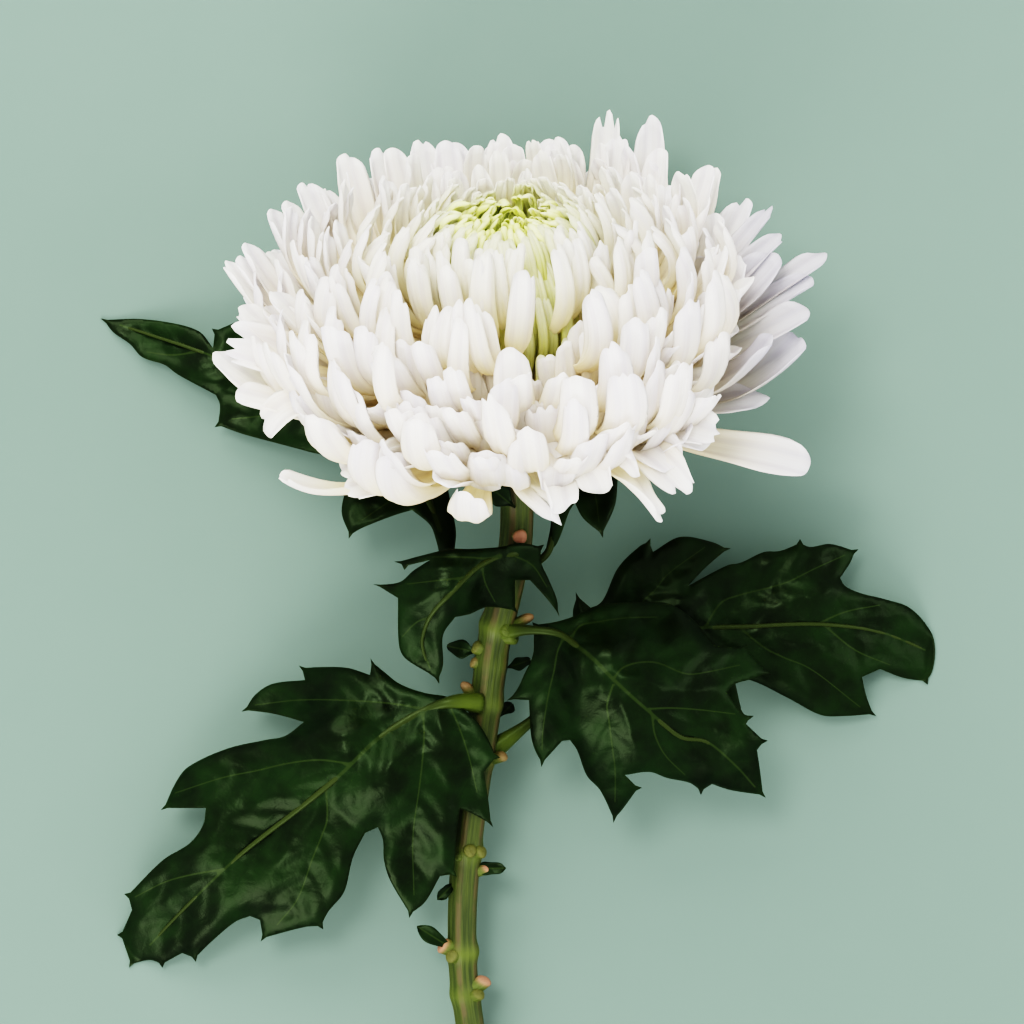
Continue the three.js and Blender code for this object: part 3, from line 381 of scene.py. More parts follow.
# The outer florets, which spread, droop or curl each in its own way:
# azimuth, reach from the axis, height, elevation of the tip, width, roll, and what else sets one apart.
OUTER_FLORETS = [
    [178, 57, 10.5, 20, 11, -50, {"point": 0, "notches": [(-0.6, 0.06), (-0.15, 0.05), (0.3, 0.07)]}],
    [174, 58, 8, 58, 7.5, -30, {"point": 0.7}], [183, 53, 14, 55, 8, -30],
    [190, 57, 20, 62, 5.5, -20, {"cup": 1.3}],
    [192.5, 54.5, 20.5, 68, 6, -20], [166, 55, 3, 30, 9, -20], [160, 54, -1, -25, 8, -30, {"hook": -3}],
    [150.5, 54, -9.2, 18, 5, 0, {"cup": 1.7, "rise": -34, "end": 30, "hook": 1.5, "hood": 0,
     "tip_length": 0.05}],
    [133, 46.5, -9, 12, 7, -35, {"rise": -25, "notches": [(-0.4, 0.05), (0.2, 0.04)]}],
    [142, 44, -7, 0, 8, 0],
    [129, 47, 4, 110, 8, 50, {"rise": -30, "cup": 1.1}], [120, 46, 2, 108, 8, 55, {"rise": -30, "cup": 1.1}],
    [136, 50, 8, 95, 8, 20], [113, 50, 13, 95, 8, 10],
    [196, 53, 23, 75, 6.5, 0], [204, 51, 26, 80, 7.5, 10], [215, 47, 30, 78, 7.5, 0],
    [224, 46, 32, 82, 7, -10], [236, 45, 31, 85, 7.5, 0], [247, 46, 30, 85, 7, 8],
    [260, 46, 28, 84, 7, 0], [270, 46, 29, 86, 7, -8], [281, 45, 28, 84, 7.5, 0],
    [292, 55, 31, 86, 7, 0, {"bend": 0, "notches": [(-0.35, 0.06), (0.3, 0.05)]}],
    [305, 51, 33, 96, 7, 15, {"bend": 0, "point": 0.8}], [318, 53, 25, 80, 8, 0], [327, 54, 21, 75, 8, 0],
    [340, 57, 22, 45, 5, 20, {"point": 0.8}], [344, 56, 19, 40, 5.5, 25], [347, 53, 17, 55, 9, 30],
    [350, 64.5, 15, 30, 6.5, 25, {"point": 0.8}], [352, 60.5, 12, 28, 7, 20], [356, 58, 9, 35, 8, 20],
    [3, 55.5, 4, 55, 10.5, 25, {"point": 0}], [8, 50, 8, 65, 8.5, 10],
    [10, 50.5, -5.5, 10, 9, 25, {"point": 0.9, "tip_length": 0.2}],
    [23, 62, -13, -6, 8, 40, {"point": 0, "bend": 0}], [35, 46, -5, 0, 8, 20],
    [45, 52, 1, 5, 9.5, 20, {"point": 0, "notches": [(-0.5, 0.04), (-0.1, 0.03), (0.4, 0.05)]}],
    [52, 50, -3, -15, 9, 20],
    [54, 54, -9, -50, 8, 10, {"twist": 50, "wave": 1.4, "notches": [(-0.4, 0.03), (0.4, 0.05)]}],
    [62, 52, -14, -62, 7, 20, {"hook": 4, "bend": -4, "twist": -60}],
    [67, 50, 1, -10, 8, 40, {"hook": -5, "twist": 60, "wave": 1.2}],
    [74, 49, -5, -50, 9, 30, {"hook": -4, "wave": 1.2, "twist": 35}],
    [79, 48, -9, -70, 9, 0, {"hook": 6, "cup": 1.3, "twist": -30}],
    [89, 44, -14, -70, 8.5, -25, {"point": 0, "bend": -5, "twist": 110, "notches": [(0.1, 0.26)]}],
    [82, 50, -3, -60, 9, 10, {"hook": -6, "wave": 1.2, "twist": -50}],
    [96, 47, -4, -60, 9.5, -20, {"hook": -5, "wave": 1, "twist": 60}],
    [106, 49, -2, 88, 9, 20, {"bend": -6, "twist": -40}],
    [86, 41, 4, 15, 7.5, -30, {"hook": 3, "wave": 1.2}], [81, 44, 2, -15, 6.5, 20],
    [78, 41, 12, 88, 8.5, 0, {"point": 0, "notches": [(-0.5, 0.03), (0, 0.03), (0.5, 0.04)]}],
    [70, 46, 6, 75, 8.5, 0], [62, 47, 9, 85, 8, 0], [88, 44, 9, 85, 8, 0], [98, 47, 6, 85, 8.5, 0],
    [108, 43, 13, 90, 8, 0], [99, 41, 12, 92, 8, 10], [91, 39, 12, 92, 7.5, 0], [83, 37, 11, 96, 7.5, 0],
    [67, 39, 13, 92, 7.5, 0], [58, 42, 13, 90, 8, 0], [117, 45, 14, 88, 8, 0],
    [104, 30, 13.5, 95, 6, 0], [66, 28.5, 17.5, 98, 5, 10], [58, 30, 20.5, 100, 5.5, 15],
    [84, 27, 10, 92, 5, 0], [104, 27, 12, 100, 6, 10], [110, 31, 15, 95, 6, -10], [62, 25, 19, 108, 5, 0],
    [69, 26, 14, 100, 5, 0], [122, 35.5, 21, 100, 6.5, 0], [124, 40, 18, 96, 7, 0],
    [95, 28, 15, 100, 5, -10], [73, 31, 10, 95, 6, 0], [104, 51, 8, 70, 8, 0],
    [210, 49, 27, 80, 7, 0], [219, 50, 26, 80, 7, 0], [230, 47, 30, 84, 7, 5],
    [242, 43, 31, 88, 7, 0], [254, 43, 30, 88, 7, 0], [287, 44, 29, 85, 7, 0], [299, 46, 30, 86, 7, 0],
    [312, 48, 28, 84, 7, 0], [321, 50, 27, 80, 7, 0],
    [140, 42, 10, 85, 7, 0], [131, 43, 3, 80, 7, 0], [135, 29, 20, 100, 5.5, 0], [156, 46, 10, 75, 7, 0],
]
# The florets under the bloom, which it rests on.
LOWER_FLORETS = [
    [246, 61, -1, 5, 8, 0], [259, 61, -4, 0, 8, 0], [271, 59, -2, 5, 8, 0], [284, 61, -4, 0, 8, 0],
    [297, 61, 0, 5, 8, 0],
]
# Where the spiral's florets end, from the outermost to the eye: layer, reach, height, elevation of the tip.
LAYERS = [
    [0.0, 54, 1, 35], [0.1, 55, 7, 58], [0.22, 54, 14, 74], [0.36, 51, 20.5, 85], [0.5, 45, 26, 94],
    [0.64, 37, 30, 103], [0.8, 27, 32.5, 114], [1.0, 16, 32.5, 126],
]
# How far the lowest of them spread, as a share of that reach, by azimuth.
SPREADS = [
    [0, 0.78], [25, 0.8], [50, 0.88], [90, 0.9], [115, 0.9], [135, 0.82], [160, 0.82], [180, 0.9],
    [210, 0.97], [270, 1], [315, 0.95], [340, 0.8], [360, 0.78],
]
THROAT = {"azimuth": 76, "half": 10, "from": 0.4, "to": 0.97}  # florets stand apart here
# Long young florets that show in the throat and hook over the eye: azimuth, reach, height.
THROAT_FLORETS = [
    [22, 9, 28.5], [30, 10, 29], [38, 9, 28], [45, 11, 28.5], [51, 10, 28], [57, 13, 27.5], [62, 11, 28.5],
    [67, 13, 27], [72, 12, 28.5], [77, 14, 26.5], [82, 12, 28.5], [88, 13, 27], [95, 12, 28.5],
    [59, 18, 24], [66, 17, 21], [73, 19, 22.5], [80, 18, 19], [87, 18, 23], [62, 22, 14], [76, 23, 12],
]
FOOT_RISES = [[-12, -8], [33, 32]]  # height of an outer floret's tip, elevation at its foot
OUTER_USUAL = {"cup": 0.8, "wave": 0.8, "rows": 28, "columns": 14}
NOTCH_DEPTH = 0.026
# Painted shade: an outer floret's white is painted cooler and greyer towards this azimuth, between these
# degrees from it.
PAINTED_SHADE_SIDE = 356
PAINTED_SHADE_FROM = (42, 12)


def angle_between(a, b):
    return abs((a - b + 540) % 360 - 180)


def notches(index):
    """Up to two small notches in a floret's tip, as shares across and along it."""
    found = []
    if draw(index, 42) > 0.35:
        found.append((-0.35 + 0.2 * spread(index, 41), NOTCH_DEPTH * draw(index, 49)))
    if draw(index, 43) > 0.45:
        found.append((0.35 + 0.2 * spread(index, 44), NOTCH_DEPTH * draw(index, 45)))
    return found


def in_throat(azimuth):
    return angle_between(azimuth, THROAT["azimuth"]) < THROAT["half"]


def outer_florets(parts):
    for i, (azimuth, reach, height, end, width, roll, *more) in enumerate(OUTER_FLORETS + LOWER_FLORETS):
        usual = {
            **OUTER_USUAL,
            "tip": (reach, height), "rise": lookup(FOOT_RISES, height)[0], "end": end,
            "width": width, "roll": roll, "bend": 3 * spread(i, 8), "point": 0.4 * draw(i, 46),
            # a negative depth carries the painted shade of the outer florets on the right side
            "notches": notches(i), "depth": -smooth(*PAINTED_SHADE_FROM, angle_between(azimuth, PAINTED_SHADE_SIDE)),
        }
        own = more[0] if more else {}
        floret(parts, i, azimuth, **{**usual, **own})


def spiral_floret(parts, i):
    layer = ((i + 0.5) / SPIRAL_COUNT) ** 1.12
    azimuth = (i * GOLDEN_ANGLE * 2 + 4 * spread(i, 1)) % 360
    if in_throat(azimuth) and THROAT["from"] < layer < THROAT["to"]:
        return
    reach, height, end = lookup(LAYERS, layer)
    inset = mix(lookup(SPREADS, azimuth)[0], 1, 0.7 * layer)
    index = SPIRAL_START + i
    floret(
        parts, index, azimuth,
        base=(mix(9, 5, layer), mix(-8, 2, layer)),
        tip=(reach * inset * (1 + 0.08 * spread(i, 2)), height + 3.5 * spread(i, 3)),
        rise=mix(-6, 74, layer**0.8), end=end + 24 * spread(i, 4), handles=(0.44, 0.52),
        width=RAY_WIDTH * mix(1.06, 0.56, layer**1.3) * (1 + 0.24 * spread(i, 5)),
        cup=mix(0.8, 1.05, layer) + 0.25 * spread(i, 33),
        roll=34 * spread(i, 6), bend=3.5 * spread(i, 7), hook=0.7 + 1.5 * spread(i, 9), hood=0.36, wave=0.5,
        point=0.6 * draw(i, 47) ** 2, tip_length=mix(0.06, 0.12, draw(i, 48)), notches=notches(index),
        depth=layer, rows=20,
    )


def inner_floret(parts, row, j):
    count, reach, height = INNER_ROWS[row]
    i = INNER_ROWS[0][0] * row + j
    azimuth = 360 * (j + 0.5 * row) / count + 5 * spread(i, 11)
    if row == 0 and in_throat(azimuth):
        return
    inward = row / 2
    floret(
        parts, INNER_START + i, azimuth,
        base=(mix(9.4, 8.2, inward), 5),
        tip=(reach + 1.5 * spread(i, 12), height + 1.4 * spread(i, 13)),
        rise=66, end=mix(138, 160, inward) + 10 * spread(i, 23), handles=(0.4, 0.46),
        width=mix(3.7, 2.6, inward) * (1 + 0.15 * spread(i, 24)), cup=1.35,
        roll=20 * spread(i, 14), bend=2.5 * spread(i, 25), point=0.3, tip_length=0.1,
        depth=1.1 + 0.2 * row, rows=20, columns=10,
    )


def inner_florets(parts):
    for row, (count, *_) in enumerate(INNER_ROWS):
        for j in range(count):
            inner_floret(parts, row, j)
    for i, (azimuth, reach, height) in enumerate(THROAT_FLORETS):
        floret(
            parts, THROAT_START + i, azimuth,
            base=(9, -3), tip=(reach, height), rise=48, end=132, handles=(0.5, 0.45),
            width=2.8 + 0.5 * spread(i, 18), cup=1.3, point=0.4, depth=1.35, rows=22, columns=10,
        )


# The crowded lower ends of the florets, which close the gaps between them
HEART_PROFILE = [
    [0.01, -11.5], [11, -11.5], [12.5, -8], [13.5, -3], [13.5, 2], [12, 6], [10, 10], [0.01, 12.5],
]
# The foot of the eye
EYE_PROFILE = [[0.01, 11], [8, 11], [9, 17], [8.6, 22.5], [6, 24.8], [0.01, 25.2]]
HEART_SIDES = 48


def heart_body(parts, profile, depth):
    """A plain solid turned about the bloom's axis, from rows of radius and height."""
    angles = np.arange(HEART_SIDES) * 360 / HEART_SIDES
    rings = np.array([[HEART + r * radial(a) + h * AXIS for a in angles] for r, h in profile])
    parts.add(rings, tube_faces(*rings.shape[:2]), along=0.1, across=0, groove=0, tone=0.5, depth=depth)


def eye_florets(parts):
    """Young green florets, each a closed knob curled in over the next."""
    for i in range(EYE_COUNT):
        share = math.sqrt((i + 0.5) / EYE_COUNT)
        reach = EYE_REACH * share
        floret(
            parts, EYE_START + i, i * GOLDEN_ANGLE + 6 * spread(i, 19),
            base=(min(9, reach * 0.85 + 0.8), 18),
            tip=(max(0.3, reach - 0.8), 29.4 + 0.6 * smooth(2, 8, reach) + 1.8 * spread(i, 10)),
            rise=mix(90, 70, share), end=mix(120, 190, share) + 20 * spread(i, 26), handles=(0.4, 0.45),
            width=mix(2.1, 2.6, share) * (1 + 0.2 * spread(i, 20)), opening=(0.3, 0.85), foot_share=0.6,
            cup=2.3, tube=2.7, roll=40 * spread(i, 21), bend=0.8 + 1.6 * spread(i, 22),
            tip_length=0.1, point=0, hood=0, crease=0, thickness=0.5, depth=2 + share, rows=16, columns=8,
        )


# The calyx: a green cup under the florets, with three rows of narrow bracts

CALYX_PROFILE = [
    [0.01, CALYX_FOOT], [3.4, CALYX_FOOT], [4.6, -19.5], [8, -16.4], [11.4, -14.2], [12.6, -11.8],
    [0.01, -11.2],
]
BRACT_ROWS = [  # count, foot, tip, width, turn of the row
    [18, (6.5, -16.5), (14.6, -10.2), 4.4, 10],
    [18, (5.4, -18), (13.6, -12), 4.2, 0],
    [14, (4.4, -19.8), (11, -14.4), 3.6, 6],
]


def calyx_bracts(parts):
    heart_body(parts, CALYX_PROFILE, 0)
    for row, (count, foot, (reach, height), width, turn) in enumerate(BRACT_ROWS):
        for j in range(count):
            i = BRACT_START + 40 * row + j
            floret(
                parts, i, 360 * j / count + turn + 3 * spread(i, 15),
                base=foot, tip=(reach + 0.4 * spread(i, 16), height + 0.4 * spread(i, 17)),
                rise=34, end=46, width=width, opening=(0, 0.4), foot_share=0.7, cup=0.5, tube=0.5,
                tip_length=0.5, point=0.7, hood=0, thickness=0.6, rows=12, columns=8,
            )


# Stem, from under the calyx to the cut end: x, y and height

STEM_TOP = HEART + (CALYX_FOOT + 2) * AXIS
STEM_ROUTE = [
    [1.2, 2.4, 31.5], [0.8, -6.6, 28], [-1, -15.6, 25], [-3.4, -25.6, 22], [-5, -37.6, 19],
    [-6.4, -47.6, 16.5], [-8.6, -64, 13.4], [-9.8, -79, 10.8], [-9.6, -92.6, 8.8], [-8.2, -103.6, 7.3],
    [-6.8, -119.6, 5.6], [-6.4, -143.6, 3.8], [-7.2, -168.8, 3.1],
]
# Nodes of the stem, where leaves and side shoots grow: place along the stem, swelling.
STEM_NODES = [
    [0.198, 0.5], [0.238, 0.15], [0.282, 0.4], [0.345, 0.4], [0.447, 0.5], [0.558, 0.6], [0.604, 0.4],
    [0.67, 0.5], [0.735, 0.5], [0.86, 0.5],
]
NODE_REACH = 0.009  # half the length of a swelling
STEM_TAPER = (0.98, 0.86)  # share of the stem's radius, from the bloom to past its middle
TAPER_FROM = (0.2, 0.62)
STEM_FLARE = 0.18  # what it gains towards the cut
FLARE_FROM = 0.7
RIDGES = 5
RIDGE_SHARE = 0.045
FINE_RIDGES = 17
FINE_RIDGE_SHARE = 0.012
STEM_RINGS = 420
STEM_SIDES = 60
# Stubs of the side shoots that were taken off, and small knobs beside them: place along the stem, turn about
# it from the left over the top, length, radius, how brown the tip is and how far it leans up the stem.
STUBS = [
    [0.091, 100, 1.2, 1.5, 1, 0.2], [0.198, 125, 1.3, 1.6, 0, 0.6], [0.203, 160, 6.5, 1.1, 0.5, 1.6],
    [0.205, 150, 1.6, 1.7, 0, 0.4], [0.224, 20, 1.2, 1.5, 0.1, 0.4], [0.24, 12, 1, 1.3, 0.3, 0.4],
    [0.288, 12, 5.5, 1.2, 0.5, 2.4], [0.345, 155, 3.5, 1.2, 0.4, 0.8], [0.444, 100, 1, 1.4, 0.1, 0.3],
    [0.446, 140, 1.4, 1.4, 0.1, 0.5], [0.452, 60, 0.8, 1.1, 0, 0.3], [0.47, 168, 2.4, 1.2, 1, 0.8],
    [0.554, 20, 2, 1.7, 0.9, 0.6], [0.56, 52, 1.2, 1.5, 0.1, 0.4], [0.6, 160, 2.6, 1.7, 0.9, 1.2],
    [0.606, 135, 1.3, 1.4, 0.1, 0.6], [0.67, 165, 3, 1.8, 0.9, 0.8], [0.735, 20, 3, 1.9, 0.9, 0.8],
    [0.86, 25, 2, 1.5, 0.8, 0.8],
]
# Rings on the cut: size, and how pale the pith is
CUT_RINGS = [[1, 0.05], [0.97, 0.3], [0.8, 0.6], [0.5, 0.8], [0.15, 1]]
CUT_CLEARANCE = 0.05  # rings of the stem nearer to the cut than this are left out
STUB_SIDES = 16
STUB_END = 0.2  # share of a stub's length that its round end takes
STUB_BLUNTNESS = 0.005  # the round end would close to a point this share past the stub's length
STUB_TAPER = (1.3, 0.9)
STUB_RIDGES = 3
STUB_RIDGE_SHARE = 0.05
STUB_BROWN_FROM = (0.6, 0.95)
STUB_GREEN = 0.8  # how much a stub takes on a node's paler green

STEM_LINE = even_line(
    smooth_line(np.vstack([STEM_TOP, place_all(STEM_ROUTE)]), 24), np.linspace(0, 1, STEM_RINGS)
)


def swelling(t):
    return sum(size * mound(t - at, NODE_REACH) for at, size in STEM_NODES)


def stem_radius(t, angle):
    taper = mix(*STEM_TAPER, smooth(*TAPER_FROM, t)) + STEM_FLARE * smooth(FLARE_FROM, 1, t)
    ridge = RIDGE_SHARE * np.cos(RIDGES * angle) + FINE_RIDGE_SHARE * np.cos(FINE_RIDGES * angle + 6 * t)
    return STEM_RADIUS * taper * (1 + ridge) + swelling(t)


def cut_end(ring, along):
    """The last ring, slid along the stem onto the slanting cut."""
    c, s = direction(CUT_END_ANGLE)
    normal = np.array([0, c, -s])
    corner = STEM_LINE[-1] + [0, STEM_RADIUS, 0]
    return ring + np.outer(((corner - ring) @ normal) / (along @ normal), along)


def stem_skin(parts):
    t = ring_shares(STEM_RINGS)
    angle = round_angles(STEM_SIDES, 0.5)
    along, across, rise = tube_frame(STEM_LINE)
    rings = tube_rings(STEM_LINE, stem_radius(t, angle), angle, across, rise)
    end = cut_end(rings[-1], along[-1])
    kept = [k for k in range(STEM_RINGS) if np.all((rings[k] - end) @ along[-1] < -CUT_CLEARANCE)]
    on_cut = [mix(end.mean(0), end, share) for share, _ in CUT_RINGS]
    rings = above_table(np.vstack([rings[kept], [end], on_cut]))
    stations = np.concatenate([t[kept], np.ones([1 + len(on_cut), 1])])
    paleness = np.concatenate([np.zeros(len(kept) + 1), [pale for _, pale in CUT_RINGS]])
    parts.add(
        rings,
        tube_faces(*rings.shape[:2]),
        along=stations,
        ridge=np.cos(RIDGES * angle),
        turn=angle,
        node=np.clip(1.6 * swelling(stations), 0, 1),
        cut=paleness[:, None],
        stub=0,
    )


def stem_stub(parts, t, turn, length, radius, brown, lean):
    k = round(t * (STEM_RINGS - 1))
    along, across, rise = (v[k] for v in tube_frame(STEM_LINE))
    c, s = direction(turn)
    out = c * across + s * rise
    heading = unit(out - lean * along)
    start = STEM_LINE[k] + out
    end = STEM_LINE[k] + out * STEM_RADIUS + heading * length
    straight = 1 - STUB_END
    round_end = 1 - STUB_END * np.cos(np.linspace(0.3, math.pi / 2, 6))
    shares = np.concatenate([np.linspace(0, straight, 8), round_end])[:, None]
    angle = round_angles(STUB_SIDES)
    first = unit(np.cross(heading, [0, 0, 1]))
    closing = np.sqrt(np.clip(1 - ((shares - straight) / (STUB_END + STUB_BLUNTNESS)) ** 2, 0, 1))
    size = radius * mix(*STUB_TAPER, shares) * np.where(shares > straight, closing, 1)
    size = size * (1 + STUB_RIDGE_SHARE * np.cos(STUB_RIDGES * angle + 40 * t))
    line = start + shares * (end - start)
    rings = tube_rings(line, size, angle, first[None], np.cross(first, heading)[None])
    brownness = brown * smooth(*STUB_BROWN_FROM, shares)
    faces = tube_faces(*rings.shape[:2])
    parts.add(rings, faces, along=t, ridge=0, turn=angle, node=STUB_GREEN, cut=0, stub=brownness)


# Leaves. A blade's outline and veins are drawn from above, and its height is a smooth surface through a few
# points of x, y and height. Its stalk runs from inside the stem to the blade.

SURFACE_SCALE = 20
CORNER_TURN = 38  # an outline is smooth where it turns less than this
OUTLINE_STEP = 0.7
VEIN_STEP = 0.5
VEIN_GAP = 0.45 * LEAF_STEP  # the grid's points keep this far from a vein
RIM_GAP = 0.4 * LEAF_STEP
RIB_HALF = (0.5, 0.16)  # half the width of the middle rib, from its foot to its end
VEIN_HALF = (0.2, 0.09)
RIM_REACH = 3  # the quilting fades this near to the rim
RIM_DROP = 0.7
RIM_DROP_REACH = 1.5
QUILT_HEIGHT = 1.3
QUILT_LEVEL = 0.35  # share of the quilting's height at which it leaves the blade as it is
QUILT_REACH = 4.5
BRANCH_GROOVE = 0.3
GROOVE_REACH = 1.4
WAVE_HEIGHT = 2.2
WAVE_LENGTH = 14
BRANCH_STEP = 6.5
BRANCH_REACH = 9
BRANCH_ANGLE = 48
BRANCH_TAPER = (1, 0.55)  # share of the reach that is left, from a vein's foot to its end
BRANCH_CURVE = 0.72  # share of the angle at which a side vein ends
VEIN_BULGE, VEIN_BULGE_REACH = 0.5, 0.6  # of a main vein under the blade
SIDE_BULGE, SIDE_BULGE_REACH = 0.2, 0.4
FAR = 12  # the farthest from a vein or the rim that a leaf's fields tell apart
STALK_JOINT = 0.07  # the share of a stalk that swells where it joins the stem
STALK_SWELLING = 1.1
STALK_RADIUS = (1.1, 0.3)  # from the stem to the end of the rib
STALK_DEPTH = (1.5, 0.7)  # how far it runs under the blade
STALK_PLACES = 12
STALK_SIDES = 14
STALK_RINGS = 90
TOOTH = 0.8  # the small point that ends each lobe

LOWER_LEFT_LEAF = {
    "outline": [
        [-12.8, -37], [-17.4, -36.2], [-22.4, -34.4], [-25.8, -31.8], [-28, -30], [-28.4, -32.6],
        [-32.8, -31.2], [-37.4, -31], [-42, -31.2], [-41.4, -33.6], [-48, -34.4], [-51.4, -36.6],
        [-53.4, -39.6], [-47.4, -40.4], [-41.6, -42], [-45.4, -44.8], [-49.4, -45.6], [-57.2, -47.4],
        [-64.8, -51], [-67.2, -54], [-69.6, -59.2], [-61.2, -59.2], [-61.8, -62.6], [-64.4, -66.2],
        [-69.8, -69.6], [-76.8, -76.6], [-76, -79.6], [-78.2, -84.6], [-76.2, -90.4], [-72.4, -89.6],
        [-70, -90.4], [-66, -88.2], [-63.4, -89.2], [-60.4, -86.2], [-55.4, -82], [-52.4, -80.8],
        [-50.4, -81.6], [-49.8, -85.2], [-41.4, -83], [-38.2, -82.8], [-36.8, -80], [-33.6, -76],
        [-31.8, -69], [-29.4, -64.2], [-26.8, -63], [-25.8, -65.6], [-25.6, -69.6], [-24.4, -73.6],
        [-20.4, -80.4], [-17.4, -78], [-14.4, -72.8], [-11.6, -72.4], [-11, -63.6], [-10.4, -59.2],
        [-7.4, -60.6], [-4.2, -62.4], [-4.8, -57.2], [-5.6, -52], [-3.2, -49], [-5, -45],
        [-7.6, -41.2], [-10.8, -38.6],
    ],
    "rib": [
        [-17.4, -39.6], [-26.4, -45], [-34.4, -52.6], [-42.4, -59.2], [-54.4, -68.6], [-66.4, -80.2],
        [-72.4, -86.6],
    ],
    "veins": [
        [[-17.4, -39.4], [-23.4, -38.4], [-30.4, -37.8], [-42.4, -37.6], [-51.4, -38.6]],
        [[-32.2, -50.4], [-38.4, -49.6], [-44.4, -50.2], [-51.4, -51.8], [-57.4, -53], [-67.4, -56.2]],
        [[-17.8, -39.8], [-17.6, -44.6], [-18, -50.6], [-18.6, -55.6], [-19.8, -64.6], [-19.6, -76.6]],
        [[-37.2, -55.2], [-37, -61.6], [-38, -64.6], [-40, -69.6], [-43, -77.6], [-47, -82.6]],
        [[-57.4, -71.4], [-64.4, -72.6], [-69.4, -74], [-75.4, -77]],
        [[-12.6, -38.4], [-10.6, -43], [-8.6, -49], [-7, -56]],
    ],
    "stalk": [[-6.4, -38.2, 22], [-12, -38, 25]],
    "heights": [
        [-12.8, -37.8, 26], [-34.4, -52.6, 27], [-54.4, -68.6, 19], [-76.2, -89.6, 0.1],
        [-53.4, -39.6, 12], [-42, -31.2, 14], [-69.6, -59.2, 11], [-49.8, -85.2, 12],
        [-20.4, -80.4, 16], [-4.2, -62.4, 22], [-26.8, -63, 23], [-64.4, -66.2, 17],
    ],
}
FRONT_RIGHT_LEAF = {
    "outline": [
        [4.6, -22.6], [8.6, -22], [12, -21], [15.6, -19.2], [18.6, -18.4], [25.6, -18], [31.6, -18.4],
        [36.4, -21.6], [38.6, -24.4], [40.8, -26.8], [46.6, -27.2], [49.2, -30], [51.2, -32.2],
        [47.2, -33.6], [44.6, -34.4], [43, -36], [45.8, -40], [47.6, -41], [46.8, -42.4],
        [50.4, -45.8], [49, -47.6], [49.6, -51.6], [50.2, -56.6], [43.6, -55.6], [40, -54.4],
        [37.8, -55.8], [35.6, -54.2], [31, -53.2], [27.6, -52], [22.6, -52.6], [25.2, -55.2],
        [22, -59.6], [20.4, -61.4], [17.6, -55.6], [15, -52.8], [13, -47.6], [11.6, -45.6],
        [10, -45.8], [8, -48], [6, -50.2], [4.6, -47.6], [3.8, -44.6], [3.4, -37.6], [-0.4, -37.4],
        [1.2, -35.2], [2.4, -32.6], [4.2, -28.6], [4.4, -24.8],
    ],
    "rib": [
        [9.6, -24.4], [15.6, -28.8], [20.4, -33.6], [26.6, -39.2], [34.6, -45.4], [38.6, -45.8],
        [44.6, -50.6], [48.6, -55],
    ],
    "veins": [
        [[20.2, -33.4], [22.4, -31], [28.2, -30], [35, -32.4], [39, -32], [45.6, -30.6]],
        [[11.6, -25.6], [13.6, -22.8], [17, -22], [22.6, -21.2], [29, -21]],
        [[10.4, -25.2], [9.2, -27.6], [8.4, -31.8], [7.4, -36], [6.2, -43.6], [6, -47.6]],
        [[20.2, -34.6], [19, -38.6], [19.4, -41.8], [20, -46.6], [20.6, -51.4], [20.6, -58]],
        [[26.8, -39.4], [32, -39.2], [38, -39.6], [44.6, -40.4]],
        [[28, -40.6], [28.6, -44.6], [30.6, -48.6], [34.6, -52.6]],
    ],
    "stalk": [[-3, -24.2, 23], [3.6, -23.6, 28]],
    "heights": [
        [5.2, -23.6, 29], [15.6, -28.8, 36], [26.6, -39.2, 36], [50.2, -56.6, 18], [25.6, -18, 29],
        [38.6, -24.4, 28], [51.2, -32.2, 25], [50.4, -45.8, 26], [20.4, -61.4, 18], [6, -50.2, 22],
        [-0.4, -37.4, 26], [37.8, -55.8, 22], [22.6, -52.6, 28],
    ],
}
BACK_RIGHT_LEAF = {
    "outline": [
        [14.6, -28.6], [12.2, -20.6], [13, -16.8], [16, -19.4], [18.2, -17.6], [21.2, -11.2],
        [25.6, -6.8], [27.4, -6], [28.2, -8], [33.6, -5], [40, -6], [43, -7.4], [38.6, -11.2],
        [35.2, -14.8], [43.2, -10.6], [45.6, -10.2], [50.4, -8], [53.6, -7.8], [57.6, -6.2],
        [59.6, -7], [63.6, -6.4], [68.6, -7.8], [67.6, -10.2], [65.6, -13.2], [66.6, -14.8],
        [69.6, -16.2], [74.4, -17.4], [79.6, -19.2], [83.8, -24], [84.6, -27.6], [84, -32],
        [82.8, -33.8], [78.4, -33.2], [73.6, -31.4], [70, -33], [70.8, -36.6], [72.2, -40.4],
        [66.6, -40.8], [61.8, -40.6], [55.2, -37.2], [47.6, -33.6], [44.6, -34], [46, -40.2],
        [37.6, -38.4], [25.6, -35.6], [17.6, -33.6],
    ],
    "rib": [
        [19.6, -29.6], [29.6, -25.2], [37.6, -23.2], [45.6, -23], [60.6, -22.4], [73.6, -24],
        [82.6, -27.6],
    ],
    "veins": [
        [[38.6, -23], [42, -18], [45.6, -16.6], [54.6, -14.2], [60.4, -11.4], [66.6, -8.6]],
        [[21, -28.6], [25.6, -18.6], [28.6, -15.6], [31, -12.6], [38.6, -7]],
        [[45.6, -23.2], [50.6, -27.2], [54.6, -29.2], [59.4, -31.2], [69.6, -39]],
        [[60.6, -22.6], [66.6, -20], [73.6, -18.6]],
        [[62.6, -22.8], [68.6, -27.6], [75.6, -30.6]],
        [[24.6, -27.6], [30.6, -31.6], [40.6, -35.6]],
    ],
    "stalk": [[-4.4, -48, 15.5], [3.6, -42, 15.5], [12, -34.6, 13.5]],
    "heights": [
        [15.6, -31.2, 13], [37.6, -23.2, 14], [60.6, -22.4, 13], [84, -28, 0.3], [13, -16.8, 14],
        [27.6, -6.6, 16], [43, -7.4, 13], [68.6, -7.8, 8], [72.2, -40.4, 3.5], [46, -40.2, 7],
        [57.6, -6.2, 12],
    ],
}
